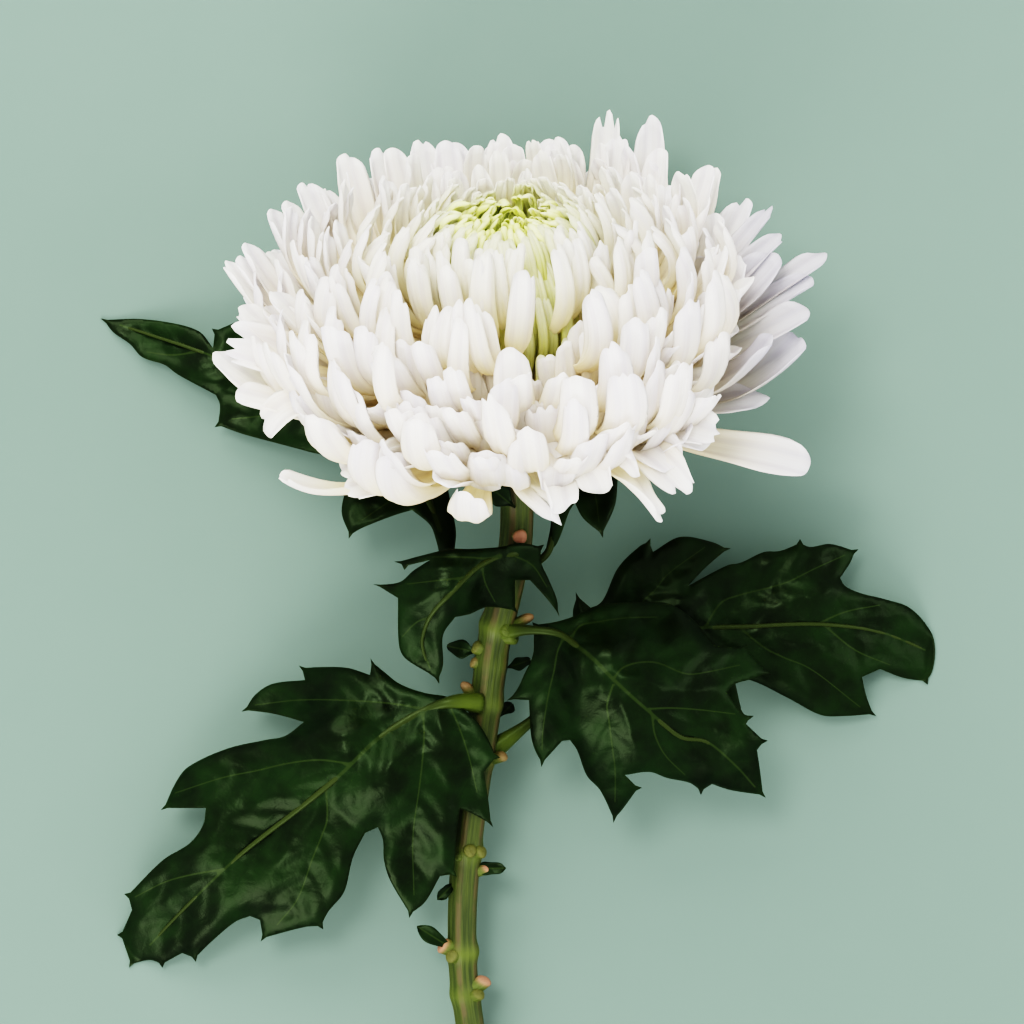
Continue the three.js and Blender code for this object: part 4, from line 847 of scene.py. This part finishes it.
CURLED_LEAF = {
    "outline": [
        [5.8, -7], [1.6, -6.2], [-2.4, -7], [-8.4, -7.4], [-12.4, -7.4], [-18.4, -8.8], [-22.8, -10],
        [-21.4, -10.8], [-16.4, -9.6], [-19.8, -11.8], [-22.4, -14], [-27, -14.6], [-22.8, -17.2],
        [-22.6, -26.6], [-21.4, -29.2], [-16.4, -32.4], [-14.8, -33.6], [-13.8, -30.6],
        [-13.8, -24.6], [-11.4, -21], [-8.4, -20.4], [-5, -19], [0.6, -19.6], [0.6, -13.6],
        [3.6, -13.6], [7.2, -17.6], [9.2, -20.2], [9, -17.6], [7.4, -13.6], [5.8, -10],
    ],
    "rib": [[-2.4, -8.8], [-6.4, -10.6], [-12, -16], [-16.4, -21], [-18, -26.6], [-16.4, -31.2]],
    "veins": [
        [[-4, -9.4], [-10, -9], [-16, -9]],
        [[-9, -13], [-14, -13.6], [-21, -14.4]],
        [[-6, -10.6], [-5.4, -14], [-3.4, -18]],
        [[-16.4, -21], [-19, -22], [-22, -25]],
        [[0, -8.6], [4, -10.6], [7, -15]],
    ],
    "stalk": [[2.8, -8.8, 30], [0.8, -8.2, 36]],
    "heights": [
        [5.8, -7, 35], [1.6, -8.8, 37], [-6.4, -10.6, 41], [-12, -16, 43], [-17.6, -22.6, 38],
        [-14.8, -33.6, 31], [-22.8, -10, 36], [-27, -14.6, 37], [-22.6, -26.6, 33], [0.6, -19.6, 33],
        [9.2, -20.2, 29], [-5, -19, 35],
    ],
}
UPPER_LEFT_LEAF = {
    "outline": [
        [-14.4, -8.8], [-15.2, -5.6], [-16.4, -2.6], [-20, 0.4], [-23.4, -0.6], [-30, -3.2],
        [-32.4, -4.6], [-34, -0.6], [-33.8, 2.4], [-32, 7.6], [-35.4, 10.6], [-40.4, 12],
        [-46.4, 13.6], [-53.8, 15.6], [-58.8, 17.4], [-58.4, 21.4], [-59.2, 23.4], [-67, 27.6],
        [-69.4, 29.4], [-74, 31], [-76.4, 33.6], [-79.8, 36], [-81.6, 38.4], [-74.4, 38.6],
        [-67, 37.6], [-62.4, 36], [-59.8, 32.8], [-59.4, 36.2], [-53.8, 38.6], [-51.2, 33.6],
        [-47.4, 30], [-42.4, 29.2], [-34.4, 26.4], [-32, 22.8], [-26.4, 21.6], [-22.4, 16.4],
        [-16.4, 12], [-13.4, 6.4], [-12, 0.4], [-11.2, -4], [-11.6, -8.4],
    ],
    "rib": [[-14.4, -3.6], [-18, 4.8], [-26.4, 14.4], [-42.4, 23.4], [-59.4, 31], [-78.4, 37.4]],
    "veins": [
        [[-18.4, 5.4], [-24, 2.4], [-30, -1.6]],
        [[-40, 22.4], [-48, 19.6], [-56, 18.6]],
        [[-44, 24.4], [-50, 29], [-53.8, 36.6]],
        [[-62, 32.2], [-68, 31.4], [-73, 32]],
    ],
    "stalk": [[-1.4, -12, 24], [-8.4, -10.8, 22], [-12.6, -8, 20]],
    "heights": [
        [-13, -8, 20], [-18, 4.8, 16], [-34.4, 19.4, 12], [-59.4, 31, 8], [-81.6, 38.4, 0],
        [-32.4, -4.6, 16], [-58.8, 17.4, 6], [-53.8, 38.6, 5], [-47.4, 30, 7], [-13.4, 6.4, 14],
        [-26.4, 21.6, 9],
    ],
}
UPPER_RIGHT_LEAF = {
    "outline": [
        [6.6, -8.2], [7.6, -3.6], [8.2, 1.4], [9.6, 6.4], [12.6, 10], [17.6, 11.4], [23.6, 10],
        [21.2, 7.6], [20.6, 1.4], [18, -4.4], [14.2, -1.2], [12.6, 1.8], [11.6, 0.4], [8.8, -6.6],
    ],
    "rib": [[8.8, -1.6], [11.6, 4.8], [15.6, 8.4], [20.6, 9.8]],
    "veins": [[[14, 7.4], [16.4, 4], [17.4, -2]]],
    "stalk": [[0.2, -14, 25.5], [4, -10.8, 28], [7.2, -8, 29]],
    "heights": [
        [7.2, -8, 29], [9.6, 1.4, 30], [13.6, 7.4, 30], [23.6, 10, 26], [18, -4.4, 33],
        [20.6, 2.4, 31],
    ],
}
LEAVES = {
    "lower_left": LOWER_LEFT_LEAF,
    "front_right": FRONT_RIGHT_LEAF,
    "back_right": BACK_RIGHT_LEAF,
    "curled": CURLED_LEAF,
    "upper_left": UPPER_LEFT_LEAF,
    "upper_right": UPPER_RIGHT_LEAF,
}


def plate_kernel(a, b):
    squares = ((a[:, None] - b[None]) ** 2).sum(-1) / SURFACE_SCALE**2
    return squares * np.log(np.maximum(squares, 1e-12))


def surface_through(heights):
    """A thin-plate surface through points of x, y and height."""
    rows = np.array(heights, float)
    flat = rows[:, :2]
    plane = np.column_stack([np.ones(len(rows)), flat / SURFACE_SCALE])
    system = np.block([[plate_kernel(flat, flat), plane], [plane.T, np.zeros((3, 3))]])
    weights = np.linalg.solve(system, np.concatenate([rows[:, 2], np.zeros(3)]))

    def height_at(points):
        near = plate_kernel(points, flat) @ weights[:-3]
        return near + weights[-3] + points @ weights[-2:] / SURFACE_SCALE

    return height_at


def smooth_outline(outline):
    """The outline with smooth curves between its corners, and a small point at each that sticks out."""
    p = np.array(outline, float)
    before, after = p - np.roll(p, 1, 0), np.roll(p, -1, 0) - p
    turn = np.degrees(np.arccos(np.clip((unit(before) * unit(after)).sum(1), -1, 1)))
    size_in, size_out = np.linalg.norm(before, axis=1), np.linalg.norm(after, axis=1)
    rate = (before + after) / (size_in + size_out)[:, None]
    corner = (turn > CORNER_TURN)[:, None]
    cross = before[:, 0] * after[:, 1] - before[:, 1] * after[:, 0]
    winding = np.sign((p[:, 0] * np.roll(p[:, 1], -1) - p[:, 1] * np.roll(p[:, 0], -1)).sum())
    pointed = corner[:, 0] & (cross * winding > 0)
    tips = p + TOOTH * unit(unit(before) - unit(after) + 1e-9)
    leaving = np.where(corner, after, rate * size_out[:, None])
    arriving = np.where(corner, before, rate * size_in[:, None])
    spans = []
    for k in range(len(p)):
        n = (k + 1) % len(p)
        count = max(1, round(size_out[k] / OUTLINE_STEP))
        t = np.linspace(0, 1, count, endpoint=False)[:, None]
        span = hermite(p[k], p[n], leaving[k], arriving[n], t)
        if pointed[k]:
            span[0] = tips[k]
        spans.append(span)
    return np.vstack(spans)


def distance_to(points, line):
    """How far points lie from a line, and the share of the line's length at the nearest place."""
    a, b = line[:-1], line[1:]
    span = b - a
    square = np.maximum((span**2).sum(1), 1e-12)
    t = np.clip(((points[:, None] - a) * span).sum(-1) / square, 0, 1)
    gap = np.linalg.norm(points[:, None] - (a + t[..., None] * span), axis=-1)
    nearest = gap.argmin(1)
    rows = np.arange(len(points))
    return gap[rows, nearest], (nearest + t[rows, nearest]) / len(span)


def nearest_of(points, lines):
    return np.min([distance_to(points, line)[0] for line in lines], axis=0)


def inside_of(points, outline):
    a, b = outline, np.roll(outline, -1, 0)
    x, y = points[:, 0, None], points[:, 1, None]
    crosses = (a[:, 1] > y) != (b[:, 1] > y)
    rise = np.where(a[:, 1] == b[:, 1], 1, b[:, 1] - a[:, 1])
    left = x < a[:, 0] + (y - a[:, 1]) / rise * (b[:, 0] - a[:, 0])
    return (crosses & left).sum(1) % 2 == 1


def turned_by(v, degrees):
    c, s = direction(degrees)
    return np.array([c * v[0] - s * v[1], s * v[0] + c * v[1]])


def branches(line, seed):
    """Short side veins that leave a vein to both sides in turn."""
    found = []
    count = int(line_length(line) / BRANCH_STEP * 2)
    for k in range(1, count):
        share = k / count
        at, ahead = even_line(line, [share, min(1, share + 0.03)])
        if np.allclose(at, ahead):
            continue
        side = 1 if k % 2 else -1
        reach = BRANCH_REACH * mix(*BRANCH_TAPER, share) * (1 + 0.2 * spread(seed + k, 51))
        angle = side * (BRANCH_ANGLE + 6 * spread(seed + k, 52))
        heading = unit(ahead - at)
        bend = at + turned_by(heading, angle) * reach * 0.5
        end = bend + turned_by(heading, angle * BRANCH_CURVE) * reach * 0.5
        found.append(smooth_line([at, bend, end], 4))
    return found


def blade_points(outline, lines):
    """Points over a blade: its outline, its veins and an even grid between them."""
    low, high = outline.min(0), outline.max(0)
    grid = []
    for k, y in enumerate(np.arange(low[1], high[1], LEAF_STEP * math.sqrt(3) / 2)):
        start = low[0] + (k % 2) * LEAF_STEP / 2
        grid.extend([x, y] for x in np.arange(start, high[0], LEAF_STEP))
    grid = np.array(grid)
    counts = [max(2, round(line_length(line) / VEIN_STEP)) for line in lines]
    veins = [even_line(line, np.linspace(0, 1, count)) for line, count in zip(lines, counts)]
    inner = np.vstack([grid[nearest_of(grid, lines) > VEIN_GAP], *veins])
    inner = inner[inside_of(inner, outline)]
    return np.vstack([outline, inner[nearest_of(inner, [closed(outline)]) > RIM_GAP]])


def closed(outline):
    return np.vstack([outline, outline[:1]])


def triangulated(points, rim):
    """Triangles over the points inside the first ones, which are the outline."""
    edges = [(k, (k + 1) % rim) for k in range(rim)]
    flat, _, faces, *_ = geometry.delaunay_2d_cdt([Vector(p) for p in points], edges, [], 1, 1e-4)
    return np.array([list(p) for p in flat]), [tuple(f) for f in faces]


def rim_edges(faces):
    edges = dict.fromkeys((a, b) for face in faces for a, b in zip(face, face[1:] + face[:1]))
    return [(a, b) for a, b in edges if (b, a) not in edges]


def vein_share(points, main):
    """Distance from the nearest main vein, as a share of how wide that vein is there."""
    shares = []
    for k, line in enumerate(main):
        gap, share = distance_to(points, line)
        half = mix(*VEIN_HALF, share) if k else mix(*RIB_HALF, share**0.6)
        shares.append(gap / half)
    return np.min(shares, axis=0)


def leaf_blade(parts, leaf, seed):
    height_at = surface_through(leaf["heights"])
    outline = smooth_outline(leaf["outline"])
    rib = smooth_line(leaf["rib"], 8)
    main = [rib, *(smooth_line(line, 6) for line in leaf["veins"])]
    side = [b for k, line in enumerate(main) for b in branches(line, seed + 50 * k)]
    points, faces = triangulated(blade_points(outline, main), len(outline))
    x, y = points.T
    to_main, to_side = nearest_of(points, main), nearest_of(points, side)
    to_rim = nearest_of(points, [closed(outline)])

    quilt = 1 - mound(to_main, QUILT_REACH) - BRANCH_GROOVE * mound(to_side, GROOVE_REACH)
    wave = np.array([noise.noise(Vector((*p, seed))) for p in points / WAVE_LENGTH])
    relief = QUILT_HEIGHT * (quilt - QUILT_LEVEL) * smooth(0, RIM_REACH, to_rim) + WAVE_HEIGHT * wave
    height = height_at(points) + relief - RIM_DROP * np.exp(-to_rim / RIM_DROP_REACH)
    half = BLADE_THICKNESS / 2
    bulge = VEIN_BULGE * mound(to_main, VEIN_BULGE_REACH) + SIDE_BULGE * mound(to_side, SIDE_BULGE_REACH)
    top = place(x, y, np.maximum(height + half, TABLE_CLEARANCE + 2 * half))
    under = place(x, y, np.maximum(height - half - bulge, TABLE_CLEARANCE))
    n = len(points)
    skin = faces + [tuple(i + n for i in reversed(face)) for face in faces]
    skin += [(b, a, a + n, b + n) for a, b in rim_edges(faces)]
    parts.add(
        np.stack([top, under]),
        skin,
        vein=np.minimum(vein_share(points, main), FAR),
        branch=np.minimum(to_side, FAR),
        rim=np.minimum(to_rim, FAR),
        under=[[0], [1]],
        flat_x=x,
        flat_y=y,
        stalk=0,
    )
    leaf_stalk(parts, leaf, rib, height_at)


def add_green(parts, rings, vein, rim, stalk):
    """A stalk or leaflet, whose pattern lies in the row frame."""
    x, y = rings[..., 0], rings[..., 1]
    faces = tube_faces(*rings.shape[:2])
    parts.add(rings, faces, vein=vein, branch=FAR, rim=rim, under=0, flat_x=x, flat_y=y, stalk=stalk)


def leaf_stalk(parts, leaf, rib, height_at):
    places = np.linspace(0, 1, STALK_PLACES)
    flat = even_line(rib, places)
    under = place(*flat.T, height_at(flat) - mix(*STALK_DEPTH, places))
    line = smooth_line(np.vstack([place_all(leaf["stalk"]), under]), 8)
    line = even_line(line, np.linspace(0, 1, STALK_RINGS))
    along, across, rise = tube_frame(line)
    t = ring_shares(STALK_RINGS)
    angle = round_angles(STALK_SIDES)
    joint = mound(t, STALK_JOINT)
    groove = 0.18 * np.maximum(0, np.sin(angle)) ** 6
    radius = mix(*STALK_RADIUS, t**0.6) * (1 - groove) + STALK_SWELLING * joint
    rings = above_table(tube_rings(line, radius, angle, across, rise))
    add_green(parts, rings, FAR, FAR, 1 + joint)


# Small leaflets at the nodes: foot and tip as x, y and height, and the width
LEAFLETS = [
    [[-6.8, -28, 22], [-13, -26.8, 21], 3.4], [[-1.4, -31.2, 19], [3.6, -29.6, 16], 2.6],
    [[-7.6, -71.2, 12], [-1.2, -71.2, 14], 3], [[-12, -74.6, 12], [-15, -77.6, 14], 2.4],
    [[-12, -87.2, 11], [-19, -82.8, 13], 3.2], [[-2.4, -40.8, 17], [0, -38.4, 15], 2.4],
    [[0, 1.4, 35], [-5.2, 5.6, 38], 4],
]
LEAFLET_ROWS = 16
LEAFLET_COLUMNS = 8
LEAFLET_ARCH = 0.8
LEAFLET_CUP = 0.5  # how far its sides rise
LEAFLET_LOBES = 0.16  # how far they go in and out, as a share of its width
LEAFLET_ROOT = 0.9  # how far its foot reaches into the stem
LEAFLET_THICKNESS = 0.56
LEAFLET_VEIN = 0.15
LEAFLET_RIM = 3  # a leaflet is too small for a paler rim


def leaflet(parts, foot, tip, width, seed):
    a, b = place_all([foot, tip])
    a = a - LEAFLET_ROOT * unit(b - a)
    t = ring_shares(LEAFLET_ROWS + 1)
    s = np.linspace(-1, 1, LEAFLET_COLUMNS + 1)[None, :]
    along = b - a
    across = unit(np.cross(along, [0, 0, 1]))
    rise = unit(np.cross(across, along))
    half = width / 2 * np.sqrt(np.clip(np.sin(math.pi * t**1.3), 0.02, 1)) * mix(0.35, 1, smooth(0.1, 0.5, t))
    half = half * (1 + LEAFLET_LOBES * np.sin(9 * t + 3 * np.sign(s) + seed))
    cup = LEAFLET_CUP * np.abs(s) ** 1.5 * (1 + 0.4 * np.sin(5 * t + seed))
    arch = LEAFLET_ARCH * 4 * t * (1 - t) + cup
    middle = a + t[..., None] * along + (half * s)[..., None] * across + arch[..., None] * rise
    half_thick = LEAFLET_THICKNESS / 2 * (1 - s**2) * np.sin(math.pi * np.clip(t, 0.04, 0.96))
    lift = half_thick[..., None] * rise
    vein = np.minimum(np.abs(there_and_back(half * s)) / LEAFLET_VEIN, FAR)
    add_green(parts, there_and_back(middle + lift, middle - lift), vein, LEAFLET_RIM, 0)


# Materials

PETAL_GLOW = 0.55  # share of a petal's light that passes through it
EYE_GLOW = 0.3
LEAF_GLOSS = (0.75, 1, 0.6, 1)  # a leaf's reflections are tinged with green


def colour(hexadecimal):
    """A colour written as on screen, as Blender's linear one."""
    values = [int(hexadecimal[k : k + 2], 16) / 255 for k in (1, 3, 5)]
    return [v / 12.92 if v <= 0.04045 else ((v + 0.055) / 1.055) ** 2.4 for v in values] + [1]


class Shade:
    """A material and short ways to add its nodes."""

    def __init__(self, name):
        self.material = bpy.data.materials.new(name)
        self.material.use_nodes = True
        self.tree = self.material.node_tree
        self.surface = self.tree.nodes["Principled BSDF"]

    def put(self, socket, value):
        """Links a socket to another, or sets it to a number, a list or a colour's hexadecimal."""
        if isinstance(value, bpy.types.NodeSocket):
            self.tree.links.new(value, socket)
        else:
            socket.default_value = colour(value) if isinstance(value, str) else value

    def node(self, kind, inputs, output=0, **settings):
        made = self.tree.nodes.new("ShaderNode" + kind)
        for name, value in settings.items():
            setattr(made, name, value)
        for key, value in inputs.items():
            self.put(made.inputs[key], value)
        return made.outputs[output]

    def fields(self, *names):
        return [self.node("Attribute", {}, "Fac", attribute_name=name) for name in names]

    def place(self):
        return self.node("NewGeometry", {}, "Position")

    def point(self, x, y, z=0):
        return self.node("CombineXYZ", {0: x, 1: y, 2: z})

    def ramp(self, value, low, high, to_low=0, to_high=1):
        inputs = {0: value, 1: low, 2: high, 3: to_low, 4: to_high}
        return self.node("MapRange", inputs, interpolation_type="SMOOTHSTEP")

    def math(self, operation, a, b=0):
        return self.node("Math", {0: a, 1: b}, operation=operation)

    def times(self, a, b):
        return self.math("MULTIPLY", a, b)

    def blend(self, share, a, b, kind="MIX"):
        return self.node("Mix", {0: share, 6: a, 7: b}, 2, data_type="RGBA", blend_type=kind)

    def tint(self, share, a, b):
        return self.blend(share, a, b, "MULTIPLY")

    def noise(self, vector, scale, detail=3, roughness=0.55):
        inputs = {"Vector": vector, "Scale": scale, "Detail": detail, "Roughness": roughness}
        return self.node("TexNoise", inputs, "Fac")

    def cells(self, vector, scale):
        inputs = {"Vector": vector, "Scale": scale}
        return self.node("TexVoronoi", inputs, "Distance", feature="DISTANCE_TO_EDGE")

    def bump(self, height, distance, strength, **under):
        inputs = {"Height": height, "Distance": distance, "Strength": strength, **under}
        return self.node("Bump", inputs, "Normal")

    def finish(self, base, roughness, specular, **more):
        sockets = {"Base Color": base, "Roughness": roughness, "Specular IOR Level": specular, **more}
        for name, value in sockets.items():
            self.put(self.surface.inputs[name], value)
        return self.material

    def let_light_through(self, share, tint):
        """Light passes through the thin sheet, as through a petal held against a lamp."""
        glow = self.node("BsdfTranslucent", {"Color": tint})
        both = self.node("MixShader", {0: share, 1: self.surface.outputs[0], 2: glow})
        self.put(self.tree.nodes["Material Output"].inputs["Surface"], both)


def petal_material():
    shade = Shade("floret_white")
    along, across, depth, tone, groove = shade.fields("along", "across", "depth", "tone", "groove")
    streak_place = shade.point(shade.times(across, 2.6), shade.times(along, 3), shade.times(tone, 60))
    streaks = shade.noise(streak_place, 1, 4)
    deep = shade.ramp(depth, 0.5, 1.3)
    inner = shade.times(deep, 0.6)
    # Cream at the foot and white at the tip, both greener in the inner florets; the cream deep in the bloom
    # is partly the florets' own colour and partly painted warm glow of light through the petals
    foot = shade.blend(deep, "#fef2d3", "#f4efc6")
    middle = shade.blend(inner, "#fef6df", "#f5f5d2")
    tip = shade.blend(shade.ramp(tone, 0.2, 1, 0, 0.6), "#fefcf8", "#f8f7fb")
    tip = shade.blend(inner, tip, "#faf8e2")
    base = shade.blend(shade.ramp(along, 0.2, 0.7), foot, middle)
    base = shade.blend(shade.ramp(along, 0.6, 0.98), base, tip)
    # Streaks, painted shade along the grooves, and painted shade that makes the outer florets on the right
    # cooler and greyer
    base = shade.tint(shade.times(shade.ramp(streaks, 0.35, 0.75), 0.3), base, "#e9e2dc")
    # Painted shade: the grooves darkened towards blue-grey
    base = shade.tint(shade.times(shade.ramp(groove, 0.5, 1), 0.35), base, "#dcd9e4")
    # Painted shade: the outer florets on the right side darkened towards lavender-grey
    base = shade.tint(shade.ramp(depth, 0, -1), base, "#dddde4")
    # Green in the throat and round the eye
    green = shade.times(shade.ramp(depth, 1.05, 1.45), shade.ramp(along, 1, 0.6, 0.35, 0.85))
    green = shade.times(green, shade.ramp(along, 0.2, 0.55, 0.25, 1))
    base = shade.tint(green, base, "#dfe792")
    shade.let_light_through(PETAL_GLOW, base)
    rough = shade.ramp(streaks, 0.2, 0.8, 0.42, 0.6)
    return shade.finish(base, rough, 0.3, Normal=shade.bump(streaks, 0.00025, 0.5))


def eye_material():
    shade = Shade("young_floret_green")
    along, depth, tone = shade.fields("along", "depth", "tone")
    tip = shade.blend(shade.ramp(depth, 2.3, 3), "#dfe388", "#ebeca8")
    tip = shade.blend(shade.ramp(tone, 0.3, 1, 0, 0.5), tip, "#f5f3cc")
    base = shade.blend(shade.ramp(along, 0.45, 0.9), "#cbd673", tip)
    shade.let_light_through(EYE_GLOW, base)
    grain = shade.noise(shade.place(), 900)
    rough = shade.ramp(grain, 0.2, 0.8, 0.45, 0.6)
    return shade.finish(base, rough, 0.3, Normal=shade.bump(grain, 0.00015, 0.4))


def calyx_material():
    shade = Shade("calyx_green")
    across, along = shade.fields("across", "along")
    grain = shade.noise(shade.place(), 500)
    base = shade.blend(shade.ramp(grain, 0.3, 0.7), "#26361a", "#3a4d22")
    base = shade.blend(shade.ramp(shade.math("ABSOLUTE", across), 1.1, 2.1), base, "#69704a")
    base = shade.blend(shade.ramp(along, 0.85, 1, 0, 0.6), base, "#5a452c")
    return shade.finish(base, 0.6, 0.35, Normal=shade.bump(grain, 0.0002, 0.5))


def stem_material():
    shade = Shade("stem_green")
    along, ridge, turn, node, cut, stub = shade.fields("along", "ridge", "turn", "node", "cut", "stub")
    fibre_place = shade.point(shade.math("SINE", turn), shade.math("COSINE", turn), shade.times(along, 2.5))
    fibres = shade.noise(fibre_place, 5, 5, 0.6)
    spots = shade.noise(shade.place(), 300)
    base = shade.blend(shade.ramp(fibres, 0.3, 0.7), "#232c10", "#3a431b")
    # Purple along the ridges, pale green nodes, brown stubs and the pith of the cut
    purple = shade.times(shade.ramp(ridge, 0.1, 1), shade.ramp(spots, 0.35, 0.6, 0.15, 0.6))
    base = shade.blend(purple, base, "#4a3d2a")
    base = shade.blend(shade.times(node, 0.75), base, "#47521e")
    base = shade.blend(stub, base, "#8a6350")
    pith = shade.blend(shade.ramp(cut, 0.3, 0.6), "#717a42", "#a9ab84")
    base = shade.blend(shade.ramp(cut, 0, 0.1), base, pith)
    spotty = shade.bump(spots, 0.00015, 0.4)
    rough = shade.ramp(spots, 0.3, 0.7, 0.42, 0.6)
    return shade.finish(base, rough, 0.2, Normal=shade.bump(fibres, 0.0004, 0.6, Normal=spotty))


def leaf_material():
    shade = Shade("leaf_green")
    vein, branch, rim, under, stalk = shade.fields("vein", "branch", "rim", "under", "stalk")
    flat = shade.point(*shade.fields("flat_x", "flat_y"))
    net, fine_net = shade.cells(flat, 0.42), shade.cells(flat, 1.3)
    patches = shade.noise(flat, 0.12)
    # Patches, the net between the veins, side veins, main veins and the rim
    base = shade.blend(shade.ramp(patches, 0.3, 0.7), "#060d04", "#0e1d09")
    base = shade.blend(shade.ramp(net, 0.09, 0, 0, 0.25), base, "#0b1508")
    base = shade.blend(shade.ramp(branch, 0.26, 0.05, 0, 0.4), base, "#101c0a")
    base = shade.blend(shade.ramp(vein, 1.5, 0.6, 0, 0.9), base, "#1e2811")
    base = shade.blend(shade.ramp(rim, 0.5, 0, 0, 0.3), base, "#1c220e")
    # The underside with its veins, the stalk and where it joins the stem
    pale = shade.blend(shade.ramp(vein, 1.6, 0.5), "#5a7048", "#93a56c")
    base = shade.blend(under, base, pale)
    base = shade.blend(shade.ramp(stalk, 0, 1), base, "#252c14")
    base = shade.blend(shade.ramp(stalk, 1, 1.8), base, "#3a4419")
    rough = shade.math("ADD", shade.ramp(patches, 0.25, 0.75, 0.3, 0.42), shade.times(under, 0.25))
    fine_lines = shade.bump(shade.ramp(fine_net, 0, 0.25), 0.00002, 0.3)
    lines = shade.bump(shade.ramp(net, 0, 0.22), 0.00005, 0.3, Normal=fine_lines)
    return shade.finish(base, rough, 0.12, **{"Specular Tint": LEAF_GLOSS, "Normal": lines})


def floor_material():
    shade = Shade("table_top")
    grain = shade.noise(shade.place(), 60)
    return shade.finish("#5a6c63", shade.ramp(grain, 0.2, 0.8, 0.7, 0.8), 0.15)


# The flower

PETAL = petal_material()
LEAF = leaf_material()
SPIRAL_PIECES = ["ray_florets_lower", "ray_florets_middle", "ray_florets_upper"]


def add_bloom():
    outer = Parts()
    outer_florets(outer)
    add_piece("ray_florets_outer", outer, PETAL, "petal", "ray_florets")
    share = SPIRAL_COUNT // len(SPIRAL_PIECES)
    for k, name in enumerate(SPIRAL_PIECES):
        spiral = Parts()
        for i in range(k * share, (k + 1) * share):
            spiral_floret(spiral, i)
        add_piece(name, spiral, PETAL, "petal", "ray_florets")
    inner = Parts()
    inner_florets(inner)
    # The heart, seen in the gaps, takes the florets' cream foot colour, which is partly painted warm glow of
    # light through the petals
    heart_body(inner, HEART_PROFILE, 0.5)
    add_piece("ray_florets_inner", inner, PETAL, "petal", "ray_florets")
    eye = Parts()
    heart_body(eye, EYE_PROFILE, 2)
    eye_florets(eye)
    add_piece("eye_florets", eye, eye_material(), "eye", "centre_florets")
    bracts = Parts()
    calyx_bracts(bracts)
    add_piece("calyx_bracts", bracts, calyx_material(), "calyx", "calyx")


def add_stem():
    skin = Parts()
    stem_skin(skin)
    for row in STUBS:
        stem_stub(skin, *row)
    add_piece("stem_skin", skin, stem_material(), "stem", "stem")


def add_leaves():
    for k, (name, leaf) in enumerate(LEAVES.items()):
        parts = Parts()
        leaf_blade(parts, leaf, 1000 * (k + 1))
        add_piece(f"blade_{name}", parts, LEAF, "leaf", f"leaf_{name}")
    for k, (foot, tip, width) in enumerate(LEAFLETS):
        parts = Parts()
        leaflet(parts, foot, tip, width, k)
        add_piece(f"leaflet_{k + 1}", parts, LEAF, "leaf", f"axil_leaflet_{k + 1}")


# Table, light and camera

TABLE_SIZE = 6
SENSOR_WIDTH = 36
CAMERA_LENS = SENSOR_WIDTH * 1000 / 204.8  # 204.8 mm are seen across at a distance of a metre
EXPOSURE = 1.15
SKY_LIGHT = 0.7
SKY_COLOUR = (0.965, 0.975, 1, 1)
DIFFUSE_BOUNCES = 6  # light that goes from petal to petal
TRANSMISSION_BOUNCES = 6
MAX_BOUNCES = 9
TARGET = Vector((0, 0.05, 0.03))  # the point that the lights face
LIGHTS = {  # place, size, power, colour
    "key": [(-0.4, 1.15, 0.85), 0.9, 7, (1, 0.97, 0.92)],
    "front_fill": [(-0.5, -1.15, 0.8), 0.9, 9, (1, 0.97, 0.92)],
    "side_fill": [(1.2, 0.1, 0.6), 0.7, 2, (1, 1, 1)],
    "overhead": [(-0.35, 0.45, 1.35), 0.45, 6, (1, 0.98, 0.95)],
}


def add_table():
    mesh = bpy.data.meshes.new("table")
    h = TABLE_SIZE / 2
    mesh.from_pydata([(-h, -h, 0), (h, -h, 0), (h, h, 0), (-h, h, 0)], [], [(0, 1, 2, 3)])
    mesh.materials.append(floor_material())
    table = add_object("table", mesh)


def add_light(name, position, size, power, tint):
    light = bpy.data.lights.new(name, "AREA")
    light.shape = "DISK"
    light.size = size
    light.energy = power
    light.color = tint
    lamp = add_object(name, light)
    lamp.location = position
    lamp.rotation_euler = (TARGET - Vector(position)).to_track_quat("-Z", "Y").to_euler()
    lamp.visible_camera = False


def add_lights():
    for name, row in LIGHTS.items():
        add_light(name, *row)
    world = bpy.data.worlds.new("studio")
    world.use_nodes = True
    background = world.node_tree.nodes["Background"]
    background.inputs["Color"].default_value = SKY_COLOUR
    background.inputs["Strength"].default_value = SKY_LIGHT
    bpy.context.scene.world = world


def add_camera():
    data = bpy.data.cameras.new("camera")
    data.lens = CAMERA_LENS
    data.sensor_width = SENSOR_WIDTH
    camera = add_object("camera", data)
    camera.location = (DRAWING_X * MM, DRAWING_Y * MM, EYE_POINT * MM)
    bpy.context.scene.camera = camera
    scene = bpy.context.scene
    scene.view_settings.view_transform = "Filmic"
    scene.view_settings.look = "Very High Contrast"
    scene.view_settings.exposure = EXPOSURE
    scene.cycles.diffuse_bounces = DIFFUSE_BOUNCES
    scene.cycles.transmission_bounces = TRANSMISSION_BOUNCES
    scene.cycles.max_bounces = MAX_BOUNCES


add_bloom()
add_stem()
add_leaves()
add_table()
add_lights()
add_camera()
